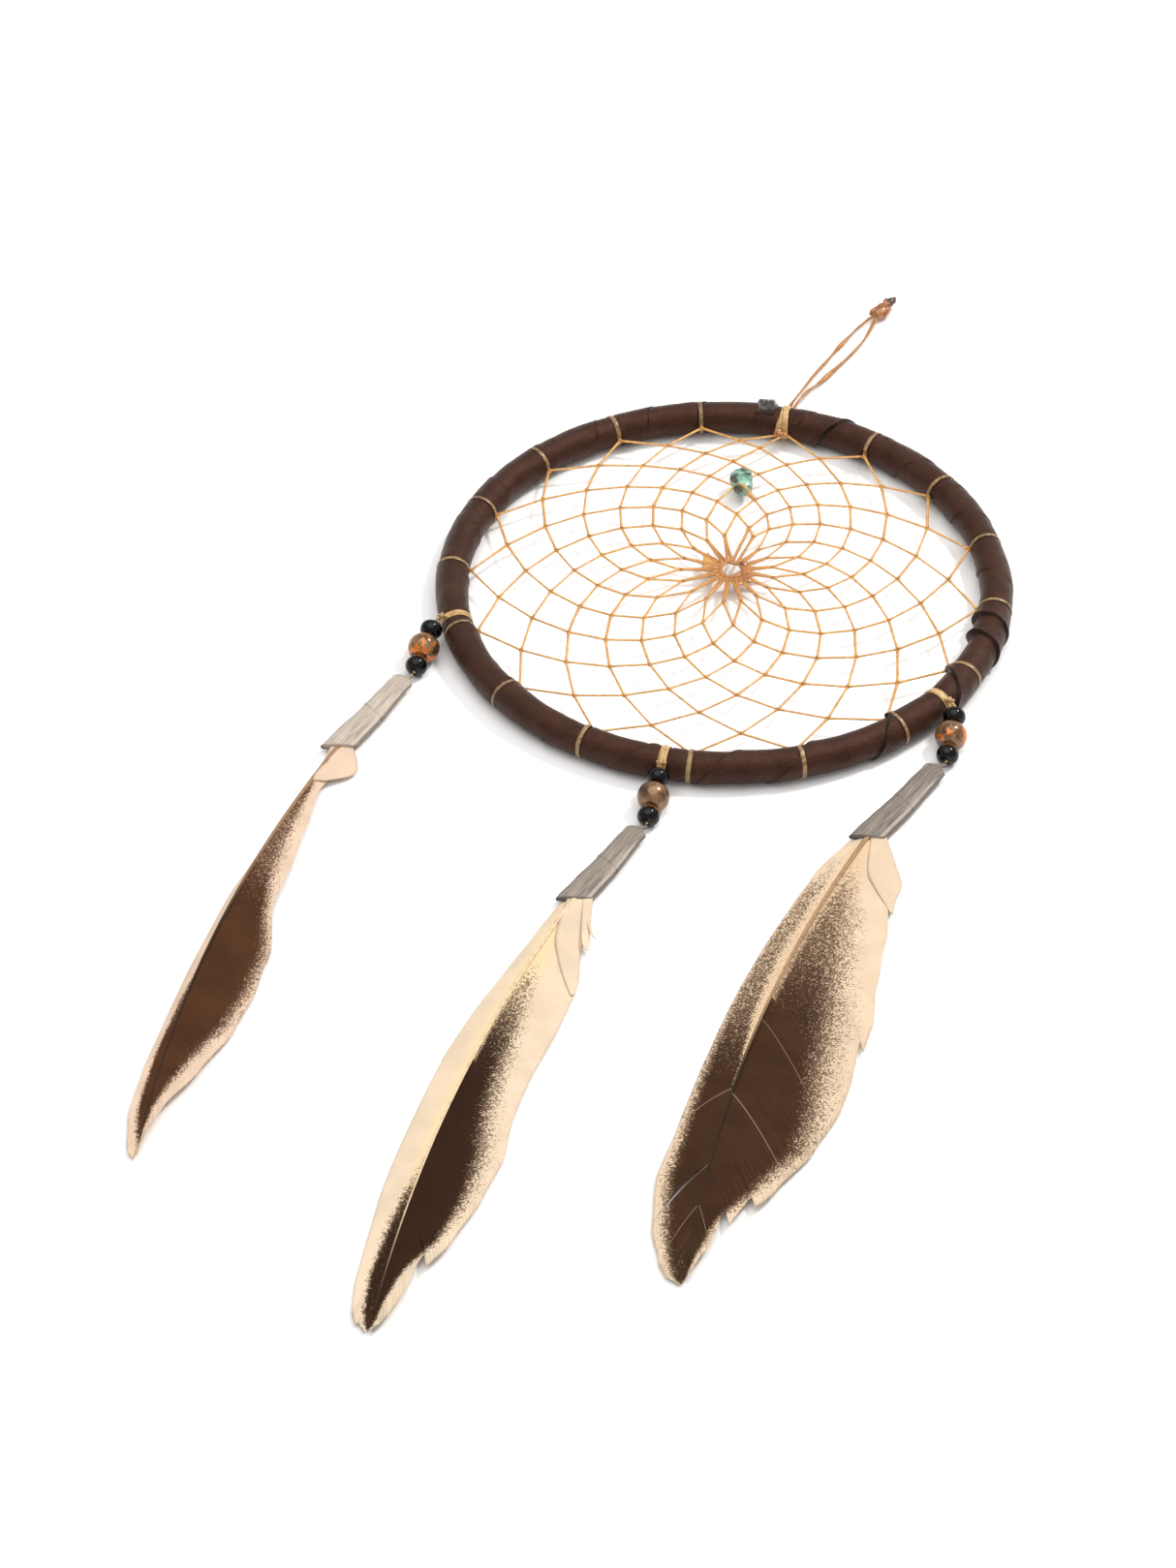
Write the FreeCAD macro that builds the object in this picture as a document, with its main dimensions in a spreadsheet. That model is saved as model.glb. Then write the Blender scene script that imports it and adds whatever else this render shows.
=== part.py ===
import FreeCAD, Part
import math
import os
import Sketcher
from FreeCAD import Placement, Rotation, Vector

# A dream catcher lying on its back, in millimetres.
# Lengths are laid out from the centre of the hoop on the back plane: +X to the right, +Y towards the
# hanging loop and +Z out of the front face. Every finished piece is then moved so that the row's origin
# is the point on the back plane where a nail passes through the hanging loop.

DIMENSIONS = [
    # hoop: a ring core wrapped in a leather strip
    ("hoop_diameter", 152.0),
    ("tube_diameter", 8.6),
    ("core_diameter", 6.7),
    ("leather_bore", 6.8),
    # sinew rings that lie flush in the leather, and the running gap under them
    ("groove_diameter", 7.9),
    ("ring_bore", 8.0),
    ("ring_diameter", 8.54),
    ("hitch_width", 0.9),
    ("band_width", 2.4),
    ("binding_width", 4.4),
    ("groove_margin", 0.1),
    ("binding_angle", 89.8),
    # glued end of the leather strip, beside the binding
    ("tail_x", -4.7),
    ("tail_length", 3.6),
    ("tail_thickness", 0.9),
    ("tail_inner_y", 72.4),
    ("tail_low", 6.0),
    # the web of waxed sinew
    ("hitch_count", 17),
    ("hitch_start", 87.0),
    ("hitch_drift", 4.2),
    ("web_nodes", 158),
    ("web_radius", 67.1),
    ("binding_clearance", 0.5),
    ("strand_width", 0.8),
    ("strand_thickness", 0.7),
    ("eye_centre_x", 0.2),
    ("eye_centre_y", 7.6),
    ("eye_ring_radius", 3.0),
    # the tie-off knot beside the web's eye, and the melted knot under the binding
    ("tie_length", 4.2),
    ("tie_width", 3.2),
    ("tie_height", 2.2),
    ("melt_length", 2.6),
    ("melt_width", 2.2),
    ("melt_height", 2.4),
    # the turquoise chip on the web
    ("chip_width", 7.2),
    ("chip_length", 10.0),
    ("chip_height", 4.0),
    ("chip_bore", 1.0),
    ("chip_x", -5.4),
    ("chip_y", 43.5),
    ("chip_turn", 102.0),
    # hanging loop: its eye, its strands and its end knot
    ("eye_x", 8.5),
    ("eye_y", 112.5),
    ("sinew_diameter", 1.0),
    ("knot_length", 5.8),
    ("knot_width", 4.8),
    ("knot_height", 3.6),
    ("stub_length", 5.8),
    ("stub_width", 3.4),
    ("stub_height", 3.0),
    # pendants: cord, beads, cuff and feather
    ("pendant_slope", 13.5),
    ("cord_height", 6.2),
    ("cord_clearance", 0.6),
    # the pin on each band and the eye that the cord hangs from it by
    ("pin_reach", 3.9),
    ("pin_height", 7.9),
    ("pin_diameter", 0.6),
    ("pin_root", 1.05),
    ("pin_head", 0.95),
    ("pin_head_diameter", 0.84),
    ("stub_diameter_at_band", 0.8),
    ("eye_bore", 0.7),
    ("eye_diameter", 1.7),
    ("eye_width", 0.8),
    ("cord_diameter", 0.94),
    ("bead_bore", 1.1),
    ("black_bead_diameter", 5.6),
    ("black_bead_length", 4.0),
    ("glass_bead_diameter", 8.0),
    ("glass_bead_length", 7.2),
    ("bead_gap", 0.15),
    ("bead_rim", 0.3),
    ("neck_gap", 0.5),
    ("neck_tip_width", 1.0),
    ("neck_tip_length", 1.2),
    ("neck_width", 2.2),
    ("cuff_width", 7.4),
    ("cuff_thickness", 3.4),
    ("quill_diameter", 2.0),
    ("quill_tip_diameter", 0.5),
    ("vane_thickness", 0.6),
]

# Each pendant: the angle of its band on the hoop, how far beyond the tube's centre line its cord turns
# down, the direction that the cord takes there, the far end of its cuff, the control point and the tip
# of its shaft, and its vane as rows of (share of the shaft, width on the -X side, width on the +X side).
PENDANTS = {
    "left": {
        "band_angle": -153.3,
        "cord_reach": 6.0,
        "cord_direction": -93.7,
        "cuff_end": (-81.5, -84.0),
        "shaft_control": (-98.4, -160.9),
        "tip": (-87.3, -236.6),
        "vane": [
            (0.0, 1.4, 3.0), (0.1, 0.9, 3.4), (0.2, 1.0, 6.7), (0.3, 1.2, 9.0),
            (0.4, 2.1, 10.5), (0.5, 2.3, 15.0), (0.6, 2.6, 15.7), (0.7, 3.0, 14.2),
            (0.8, 3.8, 9.8), (0.9, 4.3, 3.7), (0.96, 2.8, 1.4), (1.0, 0.3, 0.3),
        ],
    },
    "middle": {
        "band_angle": -88.8,
        "cord_reach": 4.6,
        "cord_direction": -88.1,
        "cuff_end": (-8.8, -124.2),
        "shaft_control": (-25.0, -199.3),
        "tip": (-18.3, -276.4),
        "vane": [
            (0.0, 3.0, 4.4), (0.1, 3.6, 9.2), (0.2, 4.8, 14.3), (0.3, 6.2, 15.3),
            (0.4, 7.2, 15.0), (0.5, 7.2, 15.5), (0.6, 7.3, 17.6), (0.7, 7.4, 16.1),
            (0.8, 6.7, 13.1), (0.9, 6.2, 6.9), (0.96, 5.2, 4.2), (1.0, 0.4, 0.4),
        ],
    },
    "right": {
        "band_angle": -26.5,
        "cord_reach": 6.0,
        "cord_direction": -86.4,
        "cuff_end": (57.0, -84.0),
        "shaft_control": (38.5, -162.4),
        "tip": (48.4, -243.9),
        "vane": [
            (0.0, 3.6, 5.0), (0.1, 6.5, 13.8), (0.2, 7.3, 19.1), (0.3, 8.2, 22.4),
            (0.4, 8.7, 26.2), (0.5, 9.1, 26.9), (0.6, 9.5, 26.6), (0.7, 10.0, 23.4),
            (0.8, 11.5, 17.0), (0.9, 9.7, 7.4), (0.96, 6.0, 2.6), (1.0, 0.4, 0.4),
        ],
    },
}

# Routes of the two strands of the hanging loop, from the hoop to the end knot.
LOOP_ROUTES = {
    "loop_strand_left": [
        (-0.1, 75.8, 5.0), (0.0, 81.5, 3.9), (0.3, 86.5, 2.4), (0.9, 92.0, 1.2), (2.0, 98.4, 0.75),
        (3.9, 104.8, 0.7), (5.6, 110.8, 0.7), (7.4, 117.0, 0.75), (9.7, 123.0, 1.1), (12.4, 127.6, 1.6),
    ],
    "loop_strand_right": [
        (1.1, 75.8, 5.0), (1.2, 81.5, 3.9), (1.6, 86.5, 2.4), (2.9, 91.8, 1.2), (5.0, 96.9, 0.75),
        (7.7, 103.4, 0.7), (10.1, 109.9, 0.7), (12.0, 116.2, 0.75), (13.0, 122.0, 1.1), (13.6, 127.0, 1.6),
    ],
}

CHIP_STRAND = (70, 88)  # the web nodes at the ends of the strand that carries the chip
UP = Vector(0, 0, 1)
FULL_TURN = 360.0

doc = FreeCAD.newDocument("dream_catcher")
sheet = doc.addObject("Spreadsheet::Sheet", "Dimensions")
for row, (alias, number) in enumerate(DIMENSIONS, start=1):
    sheet.set(f"A{row}", alias)
    sheet.set(f"B{row}", str(number))
    sheet.setAlias(f"B{row}", alias)
doc.recompute()

subparts = []


def size(alias):
    """The number in the sheet's cell of that alias."""
    return float(sheet.get(alias))


tube_radius = size("tube_diameter") / 2
hoop_radius = size("hoop_diameter") / 2 - tube_radius
loop_eye = Vector(size("eye_x"), size("eye_y"), 0)


def add(kind, name, placement=None, **expressions):
    """A document object whose properties are bound to expressions on the sheet."""
    item = doc.addObject(kind, name)
    for prop, expression in expressions.items():
        item.setExpression(prop, expression)
    if placement is not None:
        item.Placement = placement
    return item


def cell(formula):
    """A formula of aliases, with each alias written as the sheet's cell."""
    for alias, _ in sorted(DIMENSIONS, key=lambda entry: -len(entry[0])):
        formula = formula.replace(f"<{alias}>", f"Dimensions.{alias}")
    return formula


def finish(item, label, place=Vector(0, 0, 0), rotation=Rotation()):
    """Label a sub-part and move it from the hoop's coordinates to the row's."""
    item.Label = label
    item.Placement = Placement(place - loop_eye, rotation)
    subparts.append(item)
    return item


def feature(label, shape):
    """A sub-part whose shape is worked out in hoop coordinates."""
    item = doc.addObject("Part::Feature", label)
    item.Shape = shape
    return finish(item, label)


def cut(name, base, tool):
    item = doc.addObject("Part::Cut", name)
    item.Base = base
    item.Tool = tool
    return item


def fuse(name, pieces):
    item = doc.addObject("Part::MultiFuse", name)
    item.Shapes = pieces
    return item


def direction(degrees, slope=0.0):
    """A unit vector at an angle from +X, turned down by a slope."""
    turn, fall = math.radians(degrees), math.radians(slope)
    return Vector(math.cos(turn) * math.cos(fall), math.sin(turn) * math.cos(fall), -math.sin(fall))


def facing(axis):
    """A rotation that turns Z to the axis and keeps X level."""
    level = UP.cross(axis)
    return Rotation(level, Vector(0, 0, 0), axis, "ZXY")


def tube_point(angle):
    """A point on the centre line of the hoop's tube."""
    return direction(angle) * hoop_radius + UP * tube_radius


def around_tube(angle, width):
    """A placement for a cylinder round the tube, centred on an angle."""
    along = direction(angle + 90)
    return Placement(tube_point(angle) - along * (width / 2), facing(along))


# ---- hoop ----

def torus(name, diameter):
    """A ring on the tube's centre line."""
    return add(
        "Part::Torus", name, Placement(UP * tube_radius, Rotation()),
        Radius1=cell("<hoop_diameter> / 2 - <tube_diameter> / 2"),
        Radius2=cell(f"{diameter} / 2"),
    )


def hitch_angle(index):
    """The web goes round the hoop at slightly uneven steps, anticlockwise from the binding."""
    count = size("hitch_count")
    even = size("hitch_start") + FULL_TURN / count * index
    return even + size("hitch_drift") * math.cos(2 * math.pi * (index + 3) / count)


def washer(angle, inner, outer, width):
    """A flat ring round the tube."""
    place = around_tube(angle, width)
    along = place.Rotation.multVec(UP)
    outside = Part.makeCylinder(outer / 2, width, place.Base, along)
    return outside.cut(Part.makeCylinder(inner / 2, width, place.Base, along))


def groove(angle, width):
    """The space that a sinew ring takes out of the leather."""
    return washer(angle, size("groove_diameter"), size("tube_diameter") + 2, width + size("groove_margin"))


def make_hoop():
    core = torus("core_ring", "<core_diameter>")
    finish(core, "hoop_core", UP * tube_radius)
    shell = cut("leather_shell", torus("leather_outside", "<tube_diameter>"), torus("leather_inside", "<leather_bore>"))
    spaces = [groove(hitch_angle(index), size("hitch_width")) for index in range(1, int(size("hitch_count")))]
    spaces += [groove(each["band_angle"], size("band_width")) for each in PENDANTS.values()]
    spaces.append(groove(size("binding_angle"), size("binding_width")))
    grooves = doc.addObject("Part::Feature", "grooves")
    grooves.Shape = Part.makeCompound(spaces)
    finish(cut("wrap", shell, grooves), "leather_wrap")
    over = torus("over_tail", "(<tube_diameter> + 2 * <tail_thickness>)")
    skin = cut("tail_skin", over, torus("under_tail", "(<tube_diameter> + 0.04)"))
    block = add(
        "Part::Box", "tail_block",
        Placement(Vector(size("tail_x") - size("tail_length") / 2, size("tail_inner_y"), size("tail_low")), Rotation()),
        Length=cell("<tail_length>"), Width="10", Height="10",
    )
    end = doc.addObject("Part::Common", "strip_end")
    end.Base = skin
    end.Tool = block
    finish(end, "wrap_tail")


def make_sinew_ring(label, angle, width_alias):
    """A flat sinew ring that lies in its groove round the tube."""
    place = around_tube(angle, size(width_alias))
    height = cell(f"<{width_alias}>")
    outside = add("Part::Cylinder", f"{label}_outside", place, Radius=cell("<ring_diameter> / 2"), Height=height)
    inside = add("Part::Cylinder", f"{label}_inside", place, Radius=cell("<ring_bore> / 2"), Height=height)
    return finish(cut(f"{label}_ring", outside, inside), label)


def make_hitches():
    rings = [
        washer(hitch_angle(index), size("ring_bore"), size("ring_diameter"), size("hitch_width"))
        for index in range(1, int(size("hitch_count")))
    ]
    feature("web_hitches", Part.makeCompound(rings))


# ---- web ----

class Web:
    """One strand of sinew: hitched round the hoop, then knotted into its own previous turn.

    Node k, once past the first turn, is tied to the middle of the stretch between nodes k - count - 1
    and k - count. Strands pull with a force that fades towards the centre, and the nodes settle where
    those forces balance. The last turn is drawn together round a small open eye.
    """

    FADE = 0.25  # how much slacker each further turn is tied
    LEAST_LENGTH = 0.3  # keeps the pull of a very short strand finite
    SWEEPS = 500

    def __init__(self):
        self.count = int(size("hitch_count"))
        self.total = int(size("web_nodes"))
        self.centre = Vector(size("eye_centre_x"), size("eye_centre_y"), 0)
        reach = size("web_radius")
        anchors = [direction(hitch_angle(index)) * reach for index in range(self.count)]
        anchors[0] -= direction(hitch_angle(0)) * size("binding_clearance")
        self.nodes = anchors + [anchors[0]]
        while len(self.nodes) < self.total:
            tied = self.nodes[len(self.nodes) - self.count - 1] + self.nodes[len(self.nodes) - self.count]
            self.nodes.append(tied * 0.45 + self.centre * 0.1)
        self.first_open = self.total - self.count - 1
        self.settle()

    def spoke(self, index):
        """Where the open stretch after a node is drawn to the ring round the eye."""
        middle = (self.nodes[index] + self.nodes[index + 1]) * 0.5
        return self.centre + (middle - self.centre).normalize() * size("eye_ring_radius")

    def pulls(self, index):
        """The points that pull on a node, with how late each strand was tied."""
        found = [(self.nodes[index - self.count - 1], index), (self.nodes[index - self.count], index)]
        for later in (index + self.count, index + self.count + 1):
            if later < self.total:
                found.append((self.nodes[later], later))
        if index > self.first_open:
            found.append((self.spoke(index - 1), self.total))
        if self.first_open <= index < self.total - 1:
            found.append((self.spoke(index), self.total))
        return found

    def settle(self):
        for _ in range(self.SWEEPS):
            for index in range(self.count + 1, self.total):
                here = self.nodes[index]
                place, weight = Vector(0, 0, 0), 0.0
                for other, tied in self.pulls(index):
                    length = (other - here).Length + self.LEAST_LENGTH
                    pull = math.exp(-self.FADE * tied / (self.count + 0.5)) / math.sqrt(length)
                    place += other * pull
                    weight += pull
                self.nodes[index] = place / weight

    def outline(self):
        """The zigzag of the outermost strands."""
        edge = []
        for index in range(self.count):
            edge += [self.nodes[index], self.nodes[index + self.count + 1]]
        return edge

    def cells(self):
        """The openings of the net, each as its corner points."""
        nodes, count, total = self.nodes, self.count, self.total
        found = [[nodes[0], nodes[count + 1], nodes[2 * count + 1]]]
        for index in range(1, total - count - 1):
            inner = index + 2 * count + 1
            last = nodes[inner] if inner < total else self.spoke(index + count)
            if index + count + 1 < total:
                found.append([nodes[index], nodes[index + count + 1], last, nodes[index + count]])
        for index in range(self.first_open + 1, total - 1):
            found.append([nodes[index], self.spoke(index), self.spoke(index - 1)])
        return found


MITRE_LIMIT = 0.2
SHORTEST_EDGE = 0.15
SMALLEST_OPENING = 0.4


def offset(points, distance):
    """Each edge of a closed outline moved sideways: inwards on an anticlockwise one if positive."""
    moved = []
    count = len(points)
    for index in range(count):
        before, here, after = points[index - 1], points[index], points[(index + 1) % count]
        first = (here - before).normalize()
        second = (after - here).normalize()
        normal_a = Vector(-first.y, first.x, 0)
        normal_b = Vector(-second.y, second.x, 0)
        share = 1 + normal_a.dot(normal_b)
        moved.append(here + (normal_a + normal_b) * (distance / max(share, MITRE_LIMIT)))
    return moved


def signed_area(points):
    total = 0.0
    for index, here in enumerate(points):
        before = points[index - 1]
        total += before.x * here.y - here.x * before.y
    return total / 2


def inset_cell(corners, distance):
    """A cell without half of each strand round it, or None where the strands leave no opening."""
    if signed_area(corners) < 0:
        corners = corners[::-1]
    inner = offset(corners, distance)
    for index in range(len(corners)):
        old = corners[index] - corners[index - 1]
        new = inner[index] - inner[index - 1]
        if old.dot(new) <= SHORTEST_EDGE:
            return None
    return inner if signed_area(inner) > SMALLEST_OPENING else None


def closed_wire(points):
    return Part.makePolygon(points + [points[0]])


def make_web():
    web = Web()
    half = size("strand_width") / 2
    edge = web.outline()
    if signed_area(edge) < 0:
        edge.reverse()
    low = UP * (tube_radius - size("strand_thickness") / 2)
    wires = [closed_wire([point + low for point in offset(edge, -half)])]
    for corners in web.cells():
        inner = inset_cell(corners, half)
        if inner:
            wires.append(closed_wire([point + low for point in inner]))
    spokes = [web.spoke(index) for index in range(web.first_open, web.total - 1)]
    hole = [web.centre + (point - web.centre) * (1 - half / size("eye_ring_radius")) for point in spokes]
    wires.append(closed_wire([point + low for point in hole]))
    net = Part.Face(wires)
    net.validate()
    feature("web_net", net.extrude(UP * size("strand_thickness")))
    print("web openings:", len(wires) - 2, "net area:", round(net.Area, 1))
    return web


def ellipsoid(name, kind, place=Vector(0, 0, 0), turn=0.0, swell=1.0):
    """An ellipsoid with the sheet's length, width and height, its length at an angle from +X."""
    return add(
        "Part::Ellipsoid", name, Placement(place, Rotation(UP, turn)),
        Radius1=cell(f"<{kind}_height> / 2 * {swell}"),
        Radius2=cell(f"<{kind}_length> / 2 * {swell}"),
        Radius3=cell(f"<{kind}_width> / 2 * {swell}"),
    )


def make_web_details(web):
    knot_place = web.centre + Vector(4.0, -0.4, tube_radius)
    finish(ellipsoid("tie_off", "tie"), "web_knot", knot_place, Rotation(UP, -35))
    melt_place = direction(size("binding_angle")) * (size("web_radius") - 1.2) + UP * (tube_radius + 0.2)
    finish(ellipsoid("melted_knot", "melt"), "binding_knot", melt_place)
    centre = Vector(size("chip_x"), size("chip_y"), tube_radius)
    turn = Rotation(UP, size("chip_turn"))
    corner = turn.multVec(Vector(size("chip_length"), size("chip_width"), size("chip_height"))) * 0.5
    block = add(
        "Part::Box", "chip_block", Placement(centre - corner, turn),
        Length=cell("<chip_length>"), Width=cell("<chip_width>"), Height=cell("<chip_height>"),
    )
    stone = doc.addObject("Part::Common", "chip_stone")
    stone.Base = ellipsoid("pebble", "chip", centre, size("chip_turn"), 1.1)
    stone.Tool = block
    start, end = (web.nodes[index] + UP * tube_radius for index in CHIP_STRAND)
    along = (end - start).normalize()
    drill = add(
        "Part::Cylinder", "chip_drill", Placement(start - along * 5, facing(along)),
        Radius=cell("<chip_bore> / 2"), Height="25",
    )
    finish(cut("drilled_chip", stone, drill), "turquoise_chip")


# ---- cords ----

def route_wire(points):
    """Straight runs joined by tangent arcs, each as large as its two runs allow."""
    points = [Vector(*point) for point in points]
    edges, radii = [], []
    start = points[0]
    for before, corner, after in zip(points, points[1:], points[2:]):
        back = (before - corner).normalize()
        ahead = (after - corner).normalize()
        reach = 0.45 * min((before - corner).Length, (after - corner).Length)
        half_turn = (math.pi - back.getAngle(ahead)) / 2
        radii.append(reach / math.tan(half_turn))
        bisector = (back + ahead).normalize()
        centre = corner + bisector * (radii[-1] / math.cos(half_turn))
        arc_start, arc_end = corner + back * reach, corner + ahead * reach
        edges.append(Part.LineSegment(start, arc_start).toShape())
        edges.append(Part.Arc(arc_start, centre - bisector * radii[-1], arc_end).toShape())
        start = arc_end
    edges.append(Part.LineSegment(start, points[-1]).toShape())
    return Part.Wire(edges), radii


def swept(points, radius):
    """A round strand along a route, with its path and the radii of its bends."""
    path, radii = route_wire(points)
    first = (Vector(*points[1]) - Vector(*points[0])).normalize()
    circle = Part.Wire(Part.makeCircle(radius, Vector(*points[0]), first))
    return path.makePipeShell([circle], True, True), path, radii


def make_strand(label, points):
    radius = size("sinew_diameter") / 2
    strand, path, radii = swept(points, radius)
    feature(label, strand)
    section = math.pi * radius ** 2
    print(label, "length", round(path.Length, 1), "volume / (section x length)",
          round(strand.Volume / (section * path.Length), 4), "least radius", round(min(radii), 1))


def make_hanger():
    for label, points in LOOP_ROUTES.items():
        make_strand(label, points)
    knot_centre = Vector(14.5, 130.2, 0.2 + size("knot_height") / 2)
    lump = ellipsoid("knot_lump", "knot", knot_centre, 15)
    stub = ellipsoid("knot_stub", "stub", knot_centre + Vector(0.7, 2.7, 0), 75)
    finish(fuse("knot_pieces", [lump, stub]), "end_knot")


# ---- pendants ----

def make_bead(label, kind, centre, axis):
    """A turned bead: a barrel profile revolved about its bore."""
    body = doc.addObject("PartDesign::Body", f"{label}_body")
    sketch = body.newObject("Sketcher::SketchObject", f"{label}_profile")
    plane = next(item for item in body.Origin.OriginFeatures if item.Role == "XZ_Plane")
    sketch.AttachmentSupport = [(plane, "")]
    sketch.MapMode = "FlatFace"
    bore = size("bead_bore") / 2
    half = size(f"{kind}_length") / 2
    widest = size(f"{kind}_diameter") / 2
    rim = size("bead_rim") * size(f"{kind}_diameter")
    bulge = ((widest - rim) ** 2 + half ** 2) / (2 * (widest - rim))
    sweep = math.asin(half / bulge)
    corners = [Vector(bore, -half, 0), Vector(rim, -half, 0), Vector(rim, half, 0), Vector(bore, half, 0)]
    sketch.addGeometry(Part.LineSegment(corners[0], corners[1]))
    circle = Part.Circle(Vector(widest - bulge, 0, 0), Vector(0, 0, 1), bulge)
    sketch.addGeometry(Part.ArcOfCircle(circle, -sweep, sweep))
    sketch.addGeometry(Part.LineSegment(corners[2], corners[3]))
    sketch.addGeometry(Part.LineSegment(corners[3], corners[0]))
    for first, first_end, second, second_end in ((0, 2, 1, 1), (1, 2, 2, 1), (2, 2, 3, 1), (3, 2, 0, 1)):
        sketch.addConstraint(Sketcher.Constraint("Coincident", first, first_end, second, second_end))
    sketch.addConstraint(Sketcher.Constraint("Horizontal", 0))
    sketch.addConstraint(Sketcher.Constraint("Symmetric", 3, 1, 3, 2, -1))
    sketch.addConstraint(Sketcher.Constraint("Symmetric", 0, 2, 2, 1, -1))
    named = {
        "bore": (Sketcher.Constraint("DistanceX", -1, 1, 3, 2, bore), "<bead_bore> / 2"),
        "length": (Sketcher.Constraint("DistanceY", 3, 2, 3, 1, 2 * half), f"<{kind}_length>"),
        "rim": (Sketcher.Constraint("DistanceX", -1, 1, 0, 2, rim), f"<bead_rim> * <{kind}_diameter>"),
        "bulge": (
            Sketcher.Constraint("Radius", 1, bulge),
            f"((<{kind}_diameter> * (0.5 - <bead_rim>)) ^ 2 + (<{kind}_length> / 2) ^ 2)"
            f" / (2 * <{kind}_diameter> * (0.5 - <bead_rim>))",
        ),
    }
    for name, (constraint, formula) in named.items():
        number = sketch.addConstraint(constraint)
        sketch.renameConstraint(number, name)
        sketch.setExpression(f"Constraints.{name}", cell(formula))
    turned = body.newObject("PartDesign::Revolution", f"{label}_turned")
    turned.Profile = sketch
    turned.ReferenceAxis = (sketch, ["V_Axis"])
    turned.Angle = FULL_TURN
    return finish(body, label, centre, facing(axis))


def rod(name, start, stop, alias):
    """A cylinder between two points."""
    along = stop - start
    return add(
        "Part::Cylinder", name, Placement(start, facing(along.normalize())),
        Radius=cell(f"<{alias}> / 2"), Height=str((stop - start).Length),
    )


def ball(name, centre, alias):
    return add("Part::Sphere", name, Placement(centre, Rotation()), Radius=cell(f"<{alias}> / 2"))


def make_band(label, angle, pin, side):
    """A sinew ring round the tube, with the short pin that the pendant's eye turns on."""
    place = around_tube(angle, size("band_width"))
    pieces = []
    for name, alias in (("outside", "ring_diameter"), ("inside", "ring_bore")):
        pieces.append(add(
            "Part::Cylinder", f"{label}_{name}", place,
            Radius=cell(f"<{alias}> / 2"), Height=cell("<band_width>"),
        ))
    ring = cut(f"{label}_ring", *pieces)
    elbow = pin + Vector(side * size("pin_root"), 0, 0)
    head = pin - Vector(side * size("pin_head"), 0, 0)
    centre = tube_point(angle)
    foot = centre + (elbow - centre).normalize() * (size("ring_bore") / 2 + 0.15)
    finish(fuse(f"{label}_pieces", [
        ring,
        rod(f"{label}_foot", foot, elbow, "stub_diameter_at_band"),
        ball(f"{label}_elbow", elbow, "stub_diameter_at_band"),
        rod(f"{label}_pin", elbow, head, "pin_diameter"),
        ball(f"{label}_head", head, "pin_head_diameter"),
    ]), label)


def make_cord(label, pin, corner, end):
    """The pendant's cord: an eye on the band's pin, a bend, then a straight run through the beads."""
    wall = (size("eye_bore") + size("eye_diameter")) / 4
    start = pin + (corner - pin).normalize() * wall
    run, path, radii = swept([start, corner, end], size("cord_diameter") / 2)
    half = Vector(size("eye_width") / 2, 0, 0)
    eye = Part.makeCylinder(size("eye_diameter") / 2, half.x * 2, pin - half, half)
    hole = Part.makeCylinder(size("eye_bore") / 2, half.x * 6, pin - half * 3, half)
    feature(label, run.fuse(eye).cut(hole))
    print(label, "length", round(path.Length, 1), "bend radius", round(radii[0], 2))


def loft(name, sections):
    """A straight-sided loft through ellipses of (centre, axis, half width, half height)."""
    rings = []
    for index, (centre, axis, half_width, half_height) in enumerate(sections):
        rings.append(add(
            "Part::Ellipse", f"{name}_{index}", Placement(centre, facing(axis)),
            MajorRadius=str(half_width), MinorRadius=str(half_height),
        ))
    item = doc.addObject("Part::Loft", name)
    item.Sections = rings
    item.Solid = True
    item.Ruled = True
    return item


class Shaft:
    """The feather's shaft: a quadratic curve from the cuff to the tip, arched off the table."""

    def __init__(self, pendant):
        self.start = Vector(*pendant["cuff_end"], 0)
        self.control = Vector(*pendant["shaft_control"], 0)
        self.tip = Vector(*pendant["tip"], 0)

    def point(self, share):
        rest = 1 - share
        place = self.start * rest ** 2 + self.control * (2 * rest * share) + self.tip * share ** 2
        height = 1.9 * rest + 0.6 * share + 1.3 * math.sin(math.pi * share)
        return place + UP * height

    def along(self, share):
        return (self.control - self.start) * (1 - share) + (self.tip - self.control) * share


def make_cuff(label, neck, cuff_end):
    """A tapered leather sleeve, pinched to a neck at the top and cut aslant at its mouth."""
    end = Vector(*cuff_end, 1.9)
    axis = (end - neck).normalize()
    reach = (end - neck).Length
    half_width = size("cuff_width") / 2
    half_height = size("cuff_thickness") / 2
    half_neck = size("neck_width") / 2
    aslant = Rotation(UP, 30).multVec(axis)
    half_tip = size("neck_tip_width") / 2
    sleeve = loft(f"{label}_sleeve", [
        (neck, axis, half_tip, half_tip * 0.9),
        (neck + axis * size("neck_tip_length"), axis, half_neck, half_neck * 0.9),
        (neck + axis * (reach * 0.10), axis, half_neck * 1.3, half_neck * 1.1),
        (neck + axis * (reach * 0.20), axis, half_width * 0.62, half_height * 0.95),
        (neck + axis * (reach * 0.55), axis, half_width * 0.82, half_height),
        (end, aslant, half_width, half_height),
    ])
    socket = add(
        "Part::Cylinder", f"{label}_socket", Placement(neck + axis * (reach * 0.3), facing(axis)),
        Radius=cell("<quill_diameter> / 2 + 0.05"), Height="60",
    )
    finish(cut(f"{label}_bored", sleeve, socket), label)
    return axis, reach


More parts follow.
